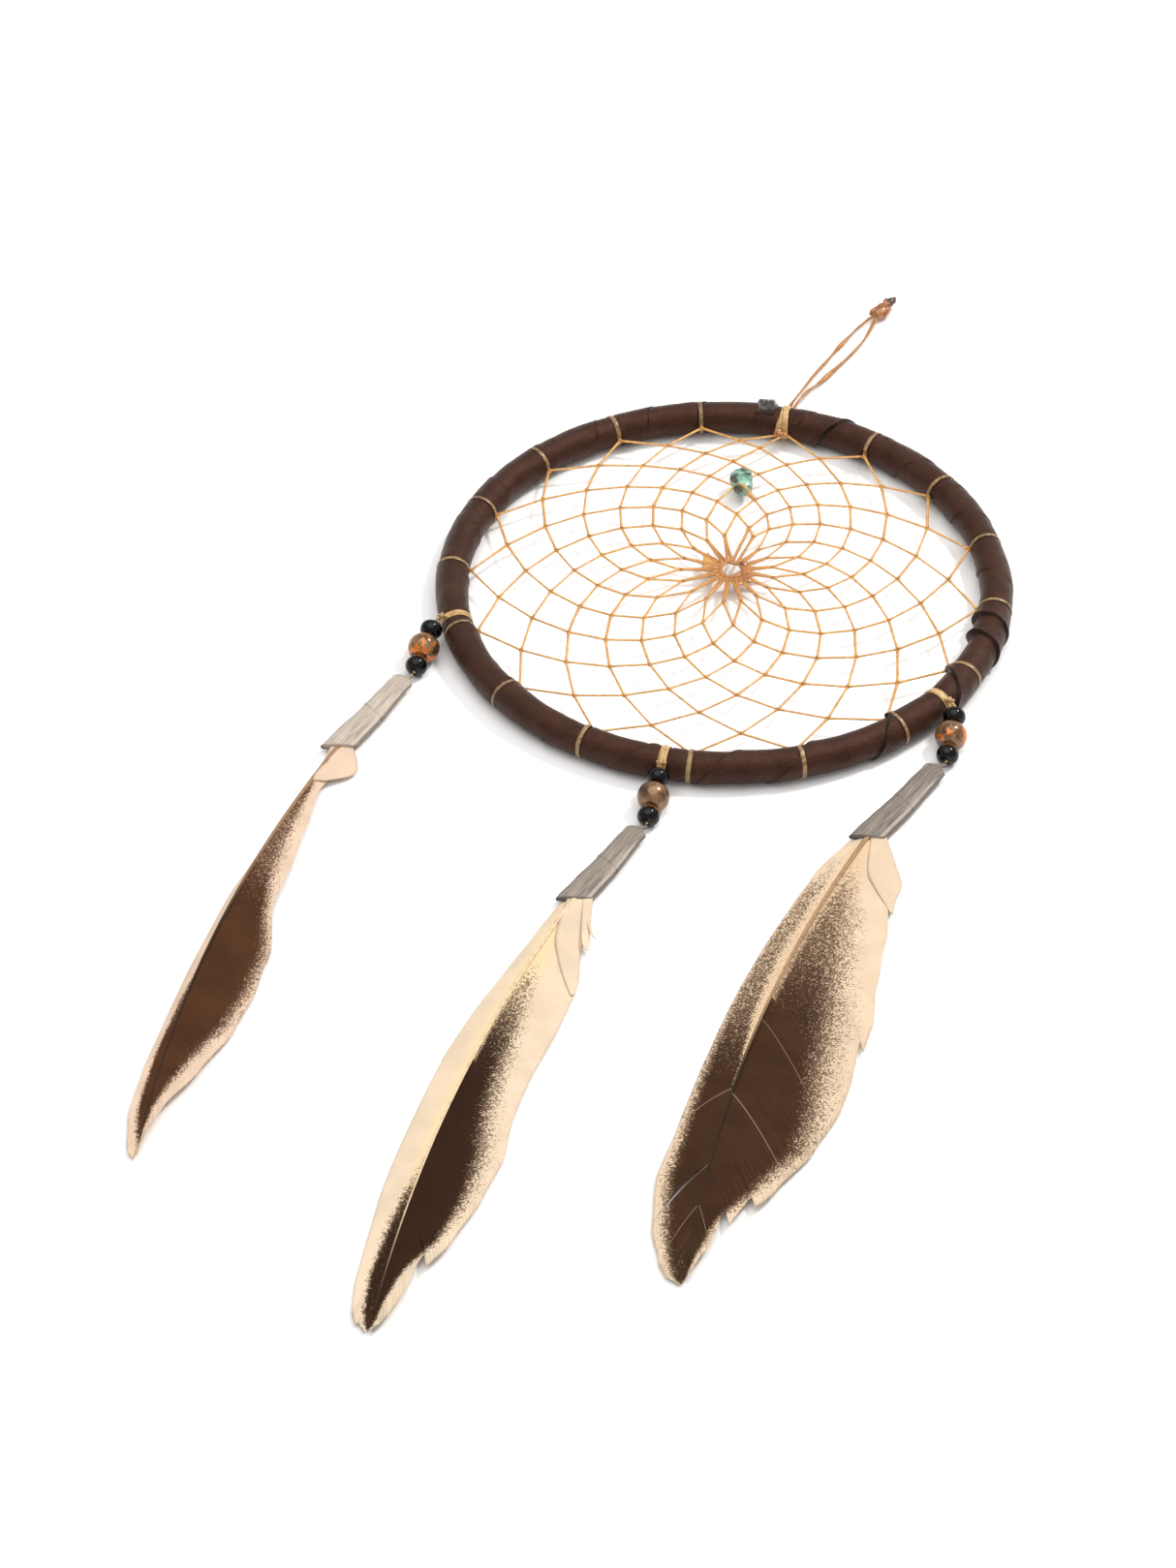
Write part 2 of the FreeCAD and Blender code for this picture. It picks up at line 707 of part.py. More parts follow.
def make_quill(label, neck, axis, reach, shaft):
    """The quill: a round taper from inside the cuff to near the tip."""
    thick, thin = size("quill_diameter") / 2, size("quill_tip_diameter") / 2
    sections = [
        (neck + axis * (reach * 0.35), axis, thick, thick),
        (neck + axis * (reach * 0.96), axis, thick, thick),
    ]
    for share in (0.1, 0.25, 0.4, 0.55, 0.7, 0.85, 0.97):
        radius = thick + (thin - thick) * share
        sections.append((shaft.point(share), shaft.along(share).normalize(), radius, radius))
    finish(loft(f"{label}_taper", sections), label)


def make_vane(label, shaft, rows):
    """The vane: a thin sheet that arches up to the shaft from both edges."""
    half = size("vane_thickness") / 2
    edge_height = half + 0.15
    tops, bottoms = [], []
    for share, left, right in rows:
        centre = shaft.point(share)
        along = shaft.along(share).normalize()
        across = Vector(-along.y, along.x, 0)  # towards +X on a feather that points to -Y
        top, bottom = [], []
        for part in (-1.0, -0.5, 0.0, 0.5, 1.0):
            width = (left if part < 0 else right) * part
            height = edge_height + (centre.z - edge_height) * (1 - abs(part) ** 1.5)
            place = Vector(centre.x + across.x * width, centre.y + across.y * width, height)
            top.append(place + UP * half)
            bottom.append(place - UP * half)
        tops.append(top)
        bottoms.append(bottom)
    feature(label, sheet_solid(tops, bottoms))


def triangle(first, second, third):
    return Part.Face(Part.makePolygon([first, second, third, first]))


def sheet_solid(tops, bottoms):
    """A closed solid between two grids of points."""
    faces = []

    def quad(a, b, c, d):
        faces.append(triangle(a, b, c))
        faces.append(triangle(a, c, d))

    rows, columns = len(tops), len(tops[0])
    for grid in (tops, bottoms):
        for row in range(rows - 1):
            for column in range(columns - 1):
                quad(grid[row][column], grid[row][column + 1], grid[row + 1][column + 1], grid[row + 1][column])
    for row in range(rows - 1):
        for column in (0, -1):
            quad(tops[row][column], tops[row + 1][column], bottoms[row + 1][column], bottoms[row][column])
    for row in (0, -1):
        for column in range(columns - 1):
            quad(tops[row][column], tops[row][column + 1], bottoms[row][column + 1], bottoms[row][column])
    shell = Part.Shell(faces)
    solid = Part.Solid(shell)
    return solid if solid.Volume > 0 else solid.reversed()


def make_pendant(side, pendant):
    axis = direction(pendant["cord_direction"], size("pendant_slope"))
    outwards = direction(pendant["band_angle"])
    pin = outwards * (hoop_radius + size("pin_reach")) + UP * size("pin_height")
    corner = outwards * (hoop_radius + pendant["cord_reach"]) + UP * size("cord_height")
    half_black = size("black_bead_length") / 2
    spacing = half_black + size("glass_bead_length") / 2 + size("bead_gap")
    upper = corner + axis * (half_black + size("cord_clearance"))
    last = upper + axis * (2 * spacing)
    make_band(f"{side}_band", pendant["band_angle"], pin, -1 if side == "right" else 1)
    make_cord(f"{side}_cord", pin, corner, last + axis * (half_black - 0.1))
    make_bead(f"{side}_upper_bead", "black_bead", upper, axis)
    make_bead(f"{side}_glass_bead", "glass_bead", upper + axis * spacing, axis)
    make_bead(f"{side}_lower_bead", "black_bead", last, axis)
    neck = last + axis * (half_black + size("neck_gap"))
    cuff_axis, reach = make_cuff(f"{side}_cuff", neck, pendant["cuff_end"])
    shaft = Shaft(pendant)
    make_quill(f"{side}_quill", neck, cuff_axis, reach, shaft)
    make_vane(f"{side}_vane", shaft, pendant["vane"])
    place = neck - loop_eye
    print(side, "pin", [round(v, 3) for v in pin - loop_eye],
          "corner", [round(v, 3) for v in corner - loop_eye],
          "neck", [round(v, 3) for v in place], "beads",
          [[round(v, 3) for v in upper + axis * spacing * n - loop_eye] for n in range(3)],
          "cord axis", [round(v, 4) for v in axis])


def check_and_export():
    doc.recompute()
    for item in doc.Objects:
        if {"Invalid", "Error"} & set(item.State):
            raise RuntimeError(f"{item.Name} did not compute: {item.State}")
    os.makedirs("parts", exist_ok=True)
    for item in subparts:
        shape = item.Shape
        if shape.isNull() or not shape.isValid() or shape.Volume <= 0:
            raise RuntimeError(f"{item.Label} has no valid solid")
        shape.exportStep(f"parts/{item.Label}.step")
        box = shape.BoundBox
        print(f"{item.Label:20s} solids {len(shape.Solids):2d} volume {shape.Volume:9.2f} "
              f"x {box.XMin:7.1f} {box.XMax:7.1f} y {box.YMin:7.1f} {box.YMax:7.1f} z {box.ZMin:6.2f} {box.ZMax:6.2f}")


make_hoop()
make_hitches()
make_sinew_ring("hanger_binding", size("binding_angle"), "binding_width")
make_web_details(make_web())
make_hanger()
for side, pendant in PENDANTS.items():
    make_pendant(side, pendant)
check_and_export()
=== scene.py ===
import math
import random

import bpy
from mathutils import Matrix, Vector, noise


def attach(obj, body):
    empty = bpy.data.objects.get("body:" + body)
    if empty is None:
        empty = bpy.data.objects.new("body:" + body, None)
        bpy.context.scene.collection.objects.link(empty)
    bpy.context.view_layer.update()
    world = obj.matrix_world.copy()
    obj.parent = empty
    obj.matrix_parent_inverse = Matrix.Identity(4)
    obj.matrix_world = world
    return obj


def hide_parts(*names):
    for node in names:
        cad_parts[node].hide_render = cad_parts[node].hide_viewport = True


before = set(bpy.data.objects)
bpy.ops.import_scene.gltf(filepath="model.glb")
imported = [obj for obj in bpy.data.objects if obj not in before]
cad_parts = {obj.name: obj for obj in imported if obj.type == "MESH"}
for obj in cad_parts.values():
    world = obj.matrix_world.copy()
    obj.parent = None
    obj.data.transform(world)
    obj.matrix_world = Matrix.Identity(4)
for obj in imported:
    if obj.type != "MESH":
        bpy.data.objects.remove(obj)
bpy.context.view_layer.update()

# Lengths below are in millimetres from the hoop's centre, on the plane that the object lies on, unless
# a name ends in _M. The part's origin is the point where a nail passes through the hanging loop.
MM = 0.001
EYE = Vector((8.5, 112.5, 0.0))
HOOP_RADIUS = 71.7
TUBE_RADIUS = 4.3
LEATHER_SINK = 0.15
FLAT_BACK = -0.8
PIN_REACH, PIN_HEIGHT = 3.9, 7.9
VANE_THICKNESS = 0.14
UP = Vector((0.0, 0.0, 1.0))
TURN = 2 * math.pi


# ---- small tools ----

def to_row(point):
    """Hoop millimetres to the part's own metres."""
    return (Vector(point) - EYE) * MM


def smooth(low, high, value):
    share = min(max((value - low) / (high - low), 0.0), 1.0)
    return share * share * (3 - 2 * share)


def mix(first, second, share):
    return first + (second - first) * share


def wobble(point, scale, seed=0.0):
    """Smooth noise from about -1 to 1, at a place in millimetres."""
    return noise.noise(Vector(point) / scale + Vector((seed, seed * 1.7, seed * 2.3)))


def direction(degrees, slope=0.0):
    turn, fall = math.radians(degrees), math.radians(slope)
    return Vector((math.cos(turn) * math.cos(fall), math.sin(turn) * math.cos(fall), -math.sin(fall)))


def tube_frame(degrees):
    """Centre of the hoop's tube at an angle, with the direction outwards."""
    out = direction(degrees)
    return out * HOOP_RADIUS + UP * TUBE_RADIUS, out


def on_tube(degrees, around, radius):
    """A point at a radius from the tube's centre line; around is 0 outwards and a quarter turn on top."""
    centre, out = tube_frame(degrees)
    return centre + out * (radius * math.cos(around)) + UP * (radius * math.sin(around))


class Pile:
    """The vertices and faces of one mesh, with named numbers on each vertex."""

    def __init__(self):
        self.points = []
        self.faces = []
        self.numbers = {}

    def grid(self, rows, round_rows=False, closed=False, capped=False, numbers=None):
        """Quads between rows of points; round_rows joins each row's ends, closed joins the last row."""
        start, width, count = len(self.points), len(rows[0]), len(rows)
        for row in rows:
            self.points.extend(row)
        for name, table in (numbers or {}).items():
            kept = self.numbers.setdefault(name, [])
            kept.extend([0.0] * (start - len(kept)))
            for line in table:
                kept.extend(line if isinstance(line, list) else [line] * width)
        for i in range(count if closed else count - 1):
            after = (i + 1) % count
            for j in range(width if round_rows else width - 1):
                side = (j + 1) % width
                self.faces.append((
                    start + i * width + j, start + i * width + side,
                    start + after * width + side, start + after * width + j,
                ))
        if capped:
            self.faces.append(tuple(start + j for j in reversed(range(width))))
            self.faces.append(tuple(start + (count - 1) * width + j for j in range(width)))

    def tube(self, rows, numbers=None):
        self.grid(rows, round_rows=True, capped=True, numbers=numbers)

    def piece(self, name, body, material, nodes=()):
        mesh = bpy.data.meshes.new(name)
        mesh.from_pydata([to_row(point) for point in self.points], [], self.faces)
        for title, numbers in self.numbers.items():
            numbers.extend([0.0] * (len(self.points) - len(numbers)))
            mesh.attributes.new(title, "FLOAT", "POINT").data.foreach_set("value", numbers)
        mesh.shade_smooth()
        mesh.materials.append(material)
        shape = bpy.data.objects.new(name, mesh)
        bpy.context.scene.collection.objects.link(shape)
        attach(shape, body)
        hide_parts(*nodes)
        return shape


def ring(centre, side, top, wide, thick, sides):
    """Points of an ellipse round a centre."""
    turns = [TURN * k / sides for k in range(sides)]
    return [centre + side * (wide * math.cos(turn)) + top * (thick * math.sin(turn)) for turn in turns]


def strip_rows(points, half_width, half_thick, up=UP, sides=8, twist=None):
    """Rings of points round a path; sizes and the twist may be functions of the share of the path."""
    count = len(points)
    rows = []
    for index, point in enumerate(points):
        share = index / (count - 1)
        along = (points[min(index + 1, count - 1)] - points[max(index - 1, 0)]).normalized()
        lift = up(share) if callable(up) else up
        side = lift.cross(along).normalized()
        top = along.cross(side)
        angle = twist(share) if twist else 0.0
        cosine, sine = math.cos(angle), math.sin(angle)
        side, top = side * cosine + top * sine, top * cosine - side * sine
        wide = half_width(share) if callable(half_width) else half_width
        thick = half_thick(share) if callable(half_thick) else half_thick
        rows.append(ring(point, side, top, wide, thick, sides))
    return rows


def blob_rows(centre, axis, length, width, height, seed, rough=0.12, rings=14, sides=20):
    """An uneven lump, long along its axis."""
    axis = axis.normalized()
    side = UP.cross(axis).normalized()
    top = axis.cross(side)
    rows = []
    for i in range(rings + 1):
        polar = math.pi * (0.02 + 0.96 * i / rings)
        row = []
        for k in range(sides):
            turn = TURN * k / sides
            away = side * (width / 2 * math.sin(polar) * math.cos(turn))
            tall = height / 2 * math.sin(polar) * math.sin(turn)
            away += top * tall - axis * (length / 2 * math.cos(polar))
            bump = 1 + rough * wobble(away, width * 0.4, seed)
            row.append(centre + away * bump)
        rows.append(row)
    return rows


# ---- materials ----

class Paint:
    """A Principled material and the few nodes that drive it."""

    def __init__(self, name, **inputs):
        self.material = bpy.data.materials.new(name)
        self.material.use_nodes = True
        self.nodes = self.material.node_tree.nodes
        self.links = self.material.node_tree.links
        self.shader = self.nodes["Principled BSDF"]
        for title, value in inputs.items():
            self.shader.inputs[title.replace("_", " ")].default_value = value

    def node(self, kind, settings=None, **inputs):
        made = self.nodes.new(kind)
        for title, value in (settings or {}).items():
            setattr(made, title, value)
        for title, value in inputs.items():
            self.feed(made.inputs[title.replace("_", " ")], value)
        return made

    def feed(self, socket, value):
        if isinstance(value, bpy.types.NodeSocket):
            self.links.new(value, socket)
        else:
            socket.default_value = value

    def number(self, attribute):
        return self.node("ShaderNodeAttribute", {"attribute_name": attribute}).outputs["Fac"]

    def place(self, stretch=(1, 1, 1), turn=(0, 0, 0)):
        coordinates = self.node("ShaderNodeTexCoord").outputs["Object"]
        moved = self.node("ShaderNodeMapping", Vector=coordinates, Scale=stretch, Rotation=turn)
        return moved.outputs["Vector"]

    def noise(self, scale, detail=3.0, roughness=0.55, place=None, distortion=0.0):
        made = self.node(
            "ShaderNodeTexNoise", Vector=place or self.place(), Scale=scale, Detail=detail,
            Roughness=roughness, Distortion=distortion,
        )
        return made.outputs["Fac"]

    def cells(self, scale, place=None, feature="F1"):
        settings = {"feature": feature}
        made = self.node("ShaderNodeTexVoronoi", settings, Vector=place or self.place(), Scale=scale)
        return made.outputs["Distance"]

    def span(self, value, low, high, out_low=0.0, out_high=1.0):
        made = self.node("ShaderNodeMapRange", {"interpolation_type": "SMOOTHSTEP"})
        for index, item in enumerate((value, low, high, out_low, out_high)):
            self.feed(made.inputs[index], item)
        return made.outputs[0]

    def maths(self, operation, first, second):
        made = self.node("ShaderNodeMath", {"operation": operation})
        self.feed(made.inputs[0], first)
        self.feed(made.inputs[1], second)
        return made.outputs[0]

    def weighted(self, first, first_share, second, second_share):
        """Two values added up, each times its share."""
        first_part = self.maths("MULTIPLY", first, first_share)
        return self.maths("ADD", first_part, self.maths("MULTIPLY", second, second_share))

    def blend(self, share, first, second):
        made = self.node("ShaderNodeMix", {"data_type": "RGBA"})
        self.feed(made.inputs["Factor"], share)
        for socket, value in zip(made.inputs[6:8], (first, second)):
            linked = isinstance(value, bpy.types.NodeSocket)
            self.feed(socket, value if linked else (*value, 1.0))
        return made.outputs[2]

    def colour(self, socket):
        self.links.new(socket, self.shader.inputs["Base Color"])

    def rough(self, socket):
        self.links.new(socket, self.shader.inputs["Roughness"])

    def bump(self, height, strength, distance_mm):
        made = self.node("ShaderNodeBump", Height=height, Strength=strength, Distance=distance_mm * MM)
        self.links.new(made.outputs["Normal"], self.shader.inputs["Normal"])


def leather_paint():
    """Dark brown wrap: fine grain, dusty high spots, near-black cut edges with a painted shadow at each lap's
    step, and painted shade where sinew presses in.
    """
    paint = Paint("leather_brown", Specular_IOR_Level=0.25, Specular_Tint=(1.0, 0.60, 0.46, 1.0))
    tone = paint.noise(160, 4)
    grain = paint.noise(1500, 5, 0.65)
    base = paint.blend(paint.span(tone, 0.3, 0.7), (0.026, 0.0095, 0.0058), (0.040, 0.0155, 0.0098))
    base = paint.blend(paint.span(grain, 0.5, 0.8, 0.0, 0.4), base, (0.085, 0.041, 0.028))
    pores = paint.cells(1300)
    base = paint.blend(paint.span(pores, 0.05, 0.3, 0.45, 0.0), base, (0.014, 0.006, 0.004))
    # The edge number is near-black at the laps' cut edges with painted shadow at each step, and painted shade
    # where sinew presses into the leather.
    base = paint.blend(paint.number("edge"), base, (0.0035, 0.002, 0.0016))
    paint.colour(base)
    paint.rough(paint.span(grain, 0.3, 0.7, 0.30, 0.50))
    relief = paint.weighted(grain, 0.7, tone, 1.6)
    relief = paint.maths("ADD", relief, paint.span(pores, 0.0, 0.35, -0.12, 0.0))
    paint.bump(relief, 1.0, 0.34)
    return paint.material


def sinew_paint(name, dark, light, roughness, fibre=700):
    """Waxed sinew: fibres along the strand, amber where it is thick."""
    paint = Paint(name, Specular_IOR_Level=0.45, Coat_Weight=0.15, Coat_Roughness=0.3)
    streak = paint.noise(fibre, 2, 0.6)
    tone = paint.noise(170, 3)
    base = paint.blend(paint.span(streak, 0.1, 0.8), dark, light)
    base = paint.blend(paint.span(tone, 0.40, 0.70, 0.0, 0.55), base, dark)
    base = paint.blend(paint.number("burnt"), base, (0.36, 0.135, 0.030))
    paint.colour(base)
    paint.rough(paint.span(streak, 0.2, 0.8, roughness - 0.08, roughness + 0.1))
    paint.bump(paint.noise(2400, 2), 0.4, 0.05)
    return paint.material


def melted_paint():
    """Sinew that was melted into a glossy lump, burnt black where the flame was."""
    paint = Paint("sinew_melted", Specular_IOR_Level=0.5, Coat_Weight=0.6, Coat_Roughness=0.12)
    tone = paint.noise(420, 3)
    base = paint.blend(paint.span(tone, 0.35, 0.65), (0.27, 0.085, 0.017), (0.50, 0.205, 0.05))
    base = paint.blend(paint.number("burnt"), base, (0.012, 0.008, 0.006))
    paint.colour(base)
    paint.rough(paint.span(tone, 0.3, 0.7, 0.18, 0.34))
    paint.bump(tone, 0.4, 0.3)
    return paint.material


def turquoise_paint():
    """Green turquoise with a brown matrix that runs in cracks."""
    paint = Paint("turquoise", Specular_IOR_Level=0.5, Coat_Weight=0.35, Coat_Roughness=0.18)
    tone = paint.noise(330, 4)
    base = paint.blend(paint.span(tone, 0.3, 0.7), (0.085, 0.265, 0.185), (0.27, 0.50, 0.38))
    warped = paint.place((1, 1.5, 1))
    cracks = paint.cells(210, warped, "DISTANCE_TO_EDGE")
    base = paint.blend(paint.span(cracks, 0.01, 0.07, 0.60, 0.0), base, (0.035, 0.018, 0.010))
    patch = paint.noise(240, 2, 0.5, paint.place((1, 1, 1), (0.4, 0.2, 0.0)))
    base = paint.blend(paint.span(patch, 0.56, 0.62, 0.0, 0.9), base, (0.05, 0.028, 0.016))
    paint.colour(base)
    paint.rough(paint.span(tone, 0.3, 0.7, 0.25, 0.42))
    paint.bump(paint.span(cracks, 0.0, 0.10), 0.5, 0.25)
    return paint.material


def black_bead_paint():
    paint = Paint("bead_black", Specular_IOR_Level=0.26)
    swirl = paint.noise(500, 2)
    paint.colour(paint.blend(paint.span(swirl, 0.4, 0.8), (0.0012, 0.0012, 0.0014), (0.004, 0.0035, 0.0035)))
    paint.rough(paint.span(swirl, 0.3, 0.7, 0.04, 0.08))
    paint.bump(swirl, 0.15, 0.1)
    return paint.material


def glass_bead_paint(name, orange_share):
    """Bronze glass with orange patches under the surface and dark flecks."""
    paint = Paint(name, Specular_IOR_Level=0.4, Coat_Weight=0.3, Coat_Roughness=0.03, Metallic=0.35)
    cloud = paint.noise(330, 4, 0.6)
    base = paint.blend(paint.span(cloud, 0.3, 0.72), (0.050, 0.024, 0.010), (0.30, 0.165, 0.075))
    patch = paint.noise(210, 3, 0.65, paint.place((1, 1, 1), (0.9, 0.3, 0.5)), 0.6)
    orange = paint.span(patch, 0.62 - orange_share, 0.68 - orange_share)
    base = paint.blend(orange, base, (0.60, 0.155, 0.018))
    fleck = paint.noise(900, 2, 0.6)
    base = paint.blend(paint.span(fleck, 0.60, 0.68, 0.0, 0.8), base, (0.055, 0.030, 0.016))
    base = paint.blend(paint.number("mouth"), base, (0.55, 0.16, 0.02))
    paint.colour(base)
    paint.rough(paint.span(cloud, 0.3, 0.7, 0.10, 0.22))
    paint.bump(cloud, 0.2, 0.1)
    return paint.material


def cuff_paint(name, pale, dark):
    """Thin grey leather: streaks along the cuff, a dark seam, and painted shade along the fold edges, in the
    crumpled neck and at the open mouth.
    """
    paint = Paint(name, Specular_IOR_Level=0.4, Sheen_Weight=0.1)
    along, across = paint.number("along"), paint.number("across")
    fibres = paint.node("ShaderNodeCombineXYZ", X=along, Y=across).outputs["Vector"]
    streak = paint.noise(1.0, 4.0, 0.65, fibres)
    speck = paint.noise(1500, 3)
    base = paint.blend(paint.span(streak, 0.26, 0.66), dark, pale)
    base = paint.blend(paint.span(speck, 0.55, 0.75, 0.0, 0.40), base, dark)
    base = paint.blend(paint.maths("MULTIPLY", paint.number("trim"), 0.6), base, (0.50, 0.39, 0.30))
    # Darker along the seam, and painted shade at the fold edges, the crumpled neck and the mouth.
    base = paint.blend(paint.number("seam_and_shade"), base, (0.055, 0.047, 0.043))
    paint.colour(base)
    paint.rough(paint.span(speck, 0.3, 0.7, 0.42, 0.58))
    paint.bump(paint.weighted(streak, 1.2, speck, 0.5), 0.35, 0.15)
    return paint.material


def vane_paint(name, cream, warm, brown):
    """Feather barbs: cream, brown in a broken mottle, a paler line along each barb, and a painted highlight
    along closed slits.
    """
    paint = Paint(name, Specular_IOR_Level=0.06, Specular_Tint=(1.0, 0.8, 0.65, 1.0))
    mottle = paint.noise(2300, 2.0, 0.55)
    coarse = paint.noise(800, 2, 0.5)
    depth, rim, warmth = paint.number("dark"), paint.number("rim"), paint.number("warm")
    level = paint.span(paint.weighted(mottle, 0.78, coarse, 0.22), 0.34, 0.66)
    dark = paint.maths("SUBTRACT", paint.maths("MULTIPLY", depth, 1.30), level)
    dark = paint.span(dark, -0.06, 0.42)
    cloud = paint.span(paint.noise(110, 3), 0.3, 0.7)
    tan = [0.52 * c * d ** 0.5 for c, d in zip(cream, (1.0, 0.76, 0.60))]
    light = paint.blend(cloud, cream, [c * 0.88 for c in cream])
    light = paint.blend(paint.maths("MULTIPLY", warmth, 0.75), light, warm)
    light = paint.blend(paint.span(rim, 0.0, 1.0, 0.10, 0.0), light, [c * 0.6 for c in cream])
    light = paint.blend(paint.span(depth, 0.35, 0.95, 0.0, 0.55), light, tan)
    deep = paint.blend(cloud, brown, [c * 1.5 for c in brown])
    deep = paint.blend(paint.span(depth, 0.30, 1.0, 0.60, 0.0), deep, tan)
    barb_line = [c * 4.0 + 0.012 for c in brown]
    deep = paint.blend(paint.span(rim, 0.35, 1.0, 0.0, 0.42), deep, barb_line)
    base = paint.blend(dark, light, deep)
    # Painted highlight: a cream line where the rim number is 2, on the barb beside a closed slit.
    base = paint.blend(paint.span(rim, 1.1, 2.0, 0.0, 0.26), base, cream)
    paint.colour(base)
    paint.rough(paint.span(coarse, 0.3, 0.7, 0.5, 0.68))
    return paint.material


def shaft_paint(name, pale, dark):
    """Horn-like feather shaft, pale at the base and dark towards the tip."""
    paint = Paint(name, Specular_IOR_Level=0.2, Specular_Tint=(1.0, 0.8, 0.65, 1.0))
    streak = paint.noise(700, 3)
    base = paint.blend(paint.number("dark"), pale, dark)
    base = paint.blend(paint.span(streak, 0.4, 0.8, 0.0, 0.35), base, dark)
    paint.colour(base)
    paint.rough(paint.span(streak, 0.3, 0.7, 0.28, 0.45))
    paint.bump(streak, 0.3, 0.08)
    return paint.material


def floor_paint():
    paint = Paint("floor_white", Specular_IOR_Level=0.1)
    tone = paint.noise(3, 2)
    paint.colour(paint.blend(tone, (0.93, 0.925, 0.92), (0.94, 0.935, 0.93)))
    paint.rough(paint.span(tone, 0.3, 0.7, 0.85, 0.95))
    return paint.material


LEATHER = leather_paint()
WEB_SINEW = sinew_paint("sinew_web", (0.43, 0.190, 0.044), (0.74, 0.41, 0.125), 0.40)
BAND_SINEW = sinew_paint("sinew_band", (0.34, 0.185, 0.060), (0.66, 0.44, 0.19), 0.30)
HITCH_SINEW = sinew_paint("sinew_hitch", (0.070, 0.038, 0.014), (0.40, 0.25, 0.105), 0.30, 900)
LOOP_SINEW = sinew_paint("sinew_loop", (0.27, 0.105, 0.024), (0.50, 0.235, 0.070), 0.40)
MELTED = melted_paint()


# ---- camera, floor and light ----

def make_camera():
    aim = to_row((-15.3, -84.3, 4.3))
    distance, elevation, azimuth = 1.474, math.radians(42.0), math.radians(104.4)
    level = math.cos(elevation)
    forward = Vector((level * math.cos(azimuth), level * math.sin(azimuth), -math.sin(elevation)))
    data = bpy.data.cameras.new("camera")
    data.lens = 133.4
    data.sensor_width = 36.0
    data.clip_end = 50.0
    camera = bpy.data.objects.new("camera", data)
    camera.location = aim - forward * distance
    camera.rotation_euler = forward.to_track_quat("-Z", "Y").to_euler()
    bpy.context.scene.collection.objects.link(camera)
    bpy.context.scene.camera = camera


def make_light(name, place, aim, size, power, colour=(1, 1, 1)):
    data = bpy.data.lights.new(name, "AREA")
    data.size = size
    data.energy = power
    data.color = colour
    light = bpy.data.objects.new(name, data)
    light.location = place
    light.rotation_euler = (Vector(aim) - Vector(place)).to_track_quat("-Z", "Y").to_euler()
    bpy.context.scene.collection.objects.link(light)


def make_stage():
    half_m, drop_m = 6.0, 0.0002
    mesh = bpy.data.meshes.new("floor")
    corners = [(x * half_m, y * half_m, 0) for x, y in ((-1, -1), (1, -1), (1, 1), (-1, 1))]
    mesh.from_pydata(corners, [], [(0, 1, 2, 3)])
    mesh.materials.append(floor_paint())
    floor = bpy.data.objects.new("floor", mesh)
    floor.location = (0, 0, -drop_m)
    bpy.context.scene.collection.objects.link(floor)
    world = bpy.data.worlds.new("studio")
    world.use_nodes = True
    background = world.node_tree.nodes["Background"].inputs
    background["Color"].default_value = (1.0, 0.995, 0.99, 1.0)
    background["Strength"].default_value = 0.62
    bpy.context.scene.world = world
    make_light("key", (0.80, 0.70, 1.50), (0, -0.15, 0), 0.26, 21.0, (1.0, 0.985, 0.96))
    make_light("overhead", (-0.2, -0.3, 2.4), (0, -0.15, 0), 2.6, 40.0, (1.0, 0.995, 0.985))
    bpy.context.scene.view_settings.view_transform = "Standard"


# ---- hoop ----

HITCH_COUNT = 17


def hitch_angle(index):
    even = 87.0 + 360.0 / HITCH_COUNT * index
    return even + 4.2 * math.cos(TURN * (index + 3) / HITCH_COUNT)


BINDING_ANGLE = 89.8
BAND_ANGLES = {"left": -153.3, "middle": -88.8, "right": -26.5}
# The strip's laps. Each edge crosses the tube aslant: angle on top, slant in degrees for a turn round the
# tube, darkness of its line (black cut edge plus painted shadow at the step), height of its step, and width
# of the black cut edge that shows.
LAP_EDGES = (
    (95.7, 8, 0.5, 0.30, 0.0), (108.2, 8, 0.9, 0.45, 0.25), (119.7, 9, 0.9, 0.45, 0.30),
    (132.6, 9, 0.8, 0.40, 0.15), (146.8, 8, 0.4, 0.50, 0.0), (161.0, 8, 0.9, 0.65, 0.35),
    (175.1, 9, 0.4, 0.40, 0.0), (190.6, 10, 0.6, 0.55, 0.2), (208.7, 14, 0.5, 0.45, 0.0),
    (229.0, 16, 0.2, 0.55, 0.0), (252.0, 20, 0.35, 0.50, 0.0), (266.7, 17, 0.5, 0.55, 0.0),
    (284.0, 18, 0.5, 0.60, 0.0), (299.7, 20, 0.6, 0.65, 0.15), (319.4, 15, 1.0, 0.75, 0.75),
    (339.5, 17, 1.0, 0.95, 1.15), (354.4, 7, 1.0, 0.95, 1.25), (0.9, 8, 1.0, 0.80, 1.10),
    (15.6, 12, 0.15, 0.40, 0.0), (35.7, 12, 0.15, 0.50, 0.0), (45.5, 12, 0.2, 0.40, 0.0),
    (56.5, 12, 0.15, 0.55, 0.0), (67.0, 12, 0.2, 0.40, 0.0), (77.6, 12, 1.0, 0.75, 0.85),
    (85.3, 12, 0.4, 0.45, 0.3),
)


def near(first, second):
    """How far apart two angles are, in millimetres along the hoop."""
    gap = (first - second + 180.0) % 360.0 - 180.0
    return gap * math.pi / 180 * HOOP_RADIUS


def pinch(degrees):
    """How far the leather is pressed in under the sinew."""
    depth = 0.0
    for index in range(1, HITCH_COUNT):
        depth += 0.22 * math.exp(-(near(degrees, hitch_angle(index)) / 0.9) ** 2)
    for angle in BAND_ANGLES.values():
        depth += 0.30 * math.exp(-(near(degrees, angle) / 1.8) ** 4)
    return depth + 0.30 * math.exp(-(near(degrees, BINDING_ANGLE) / 2.9) ** 4)


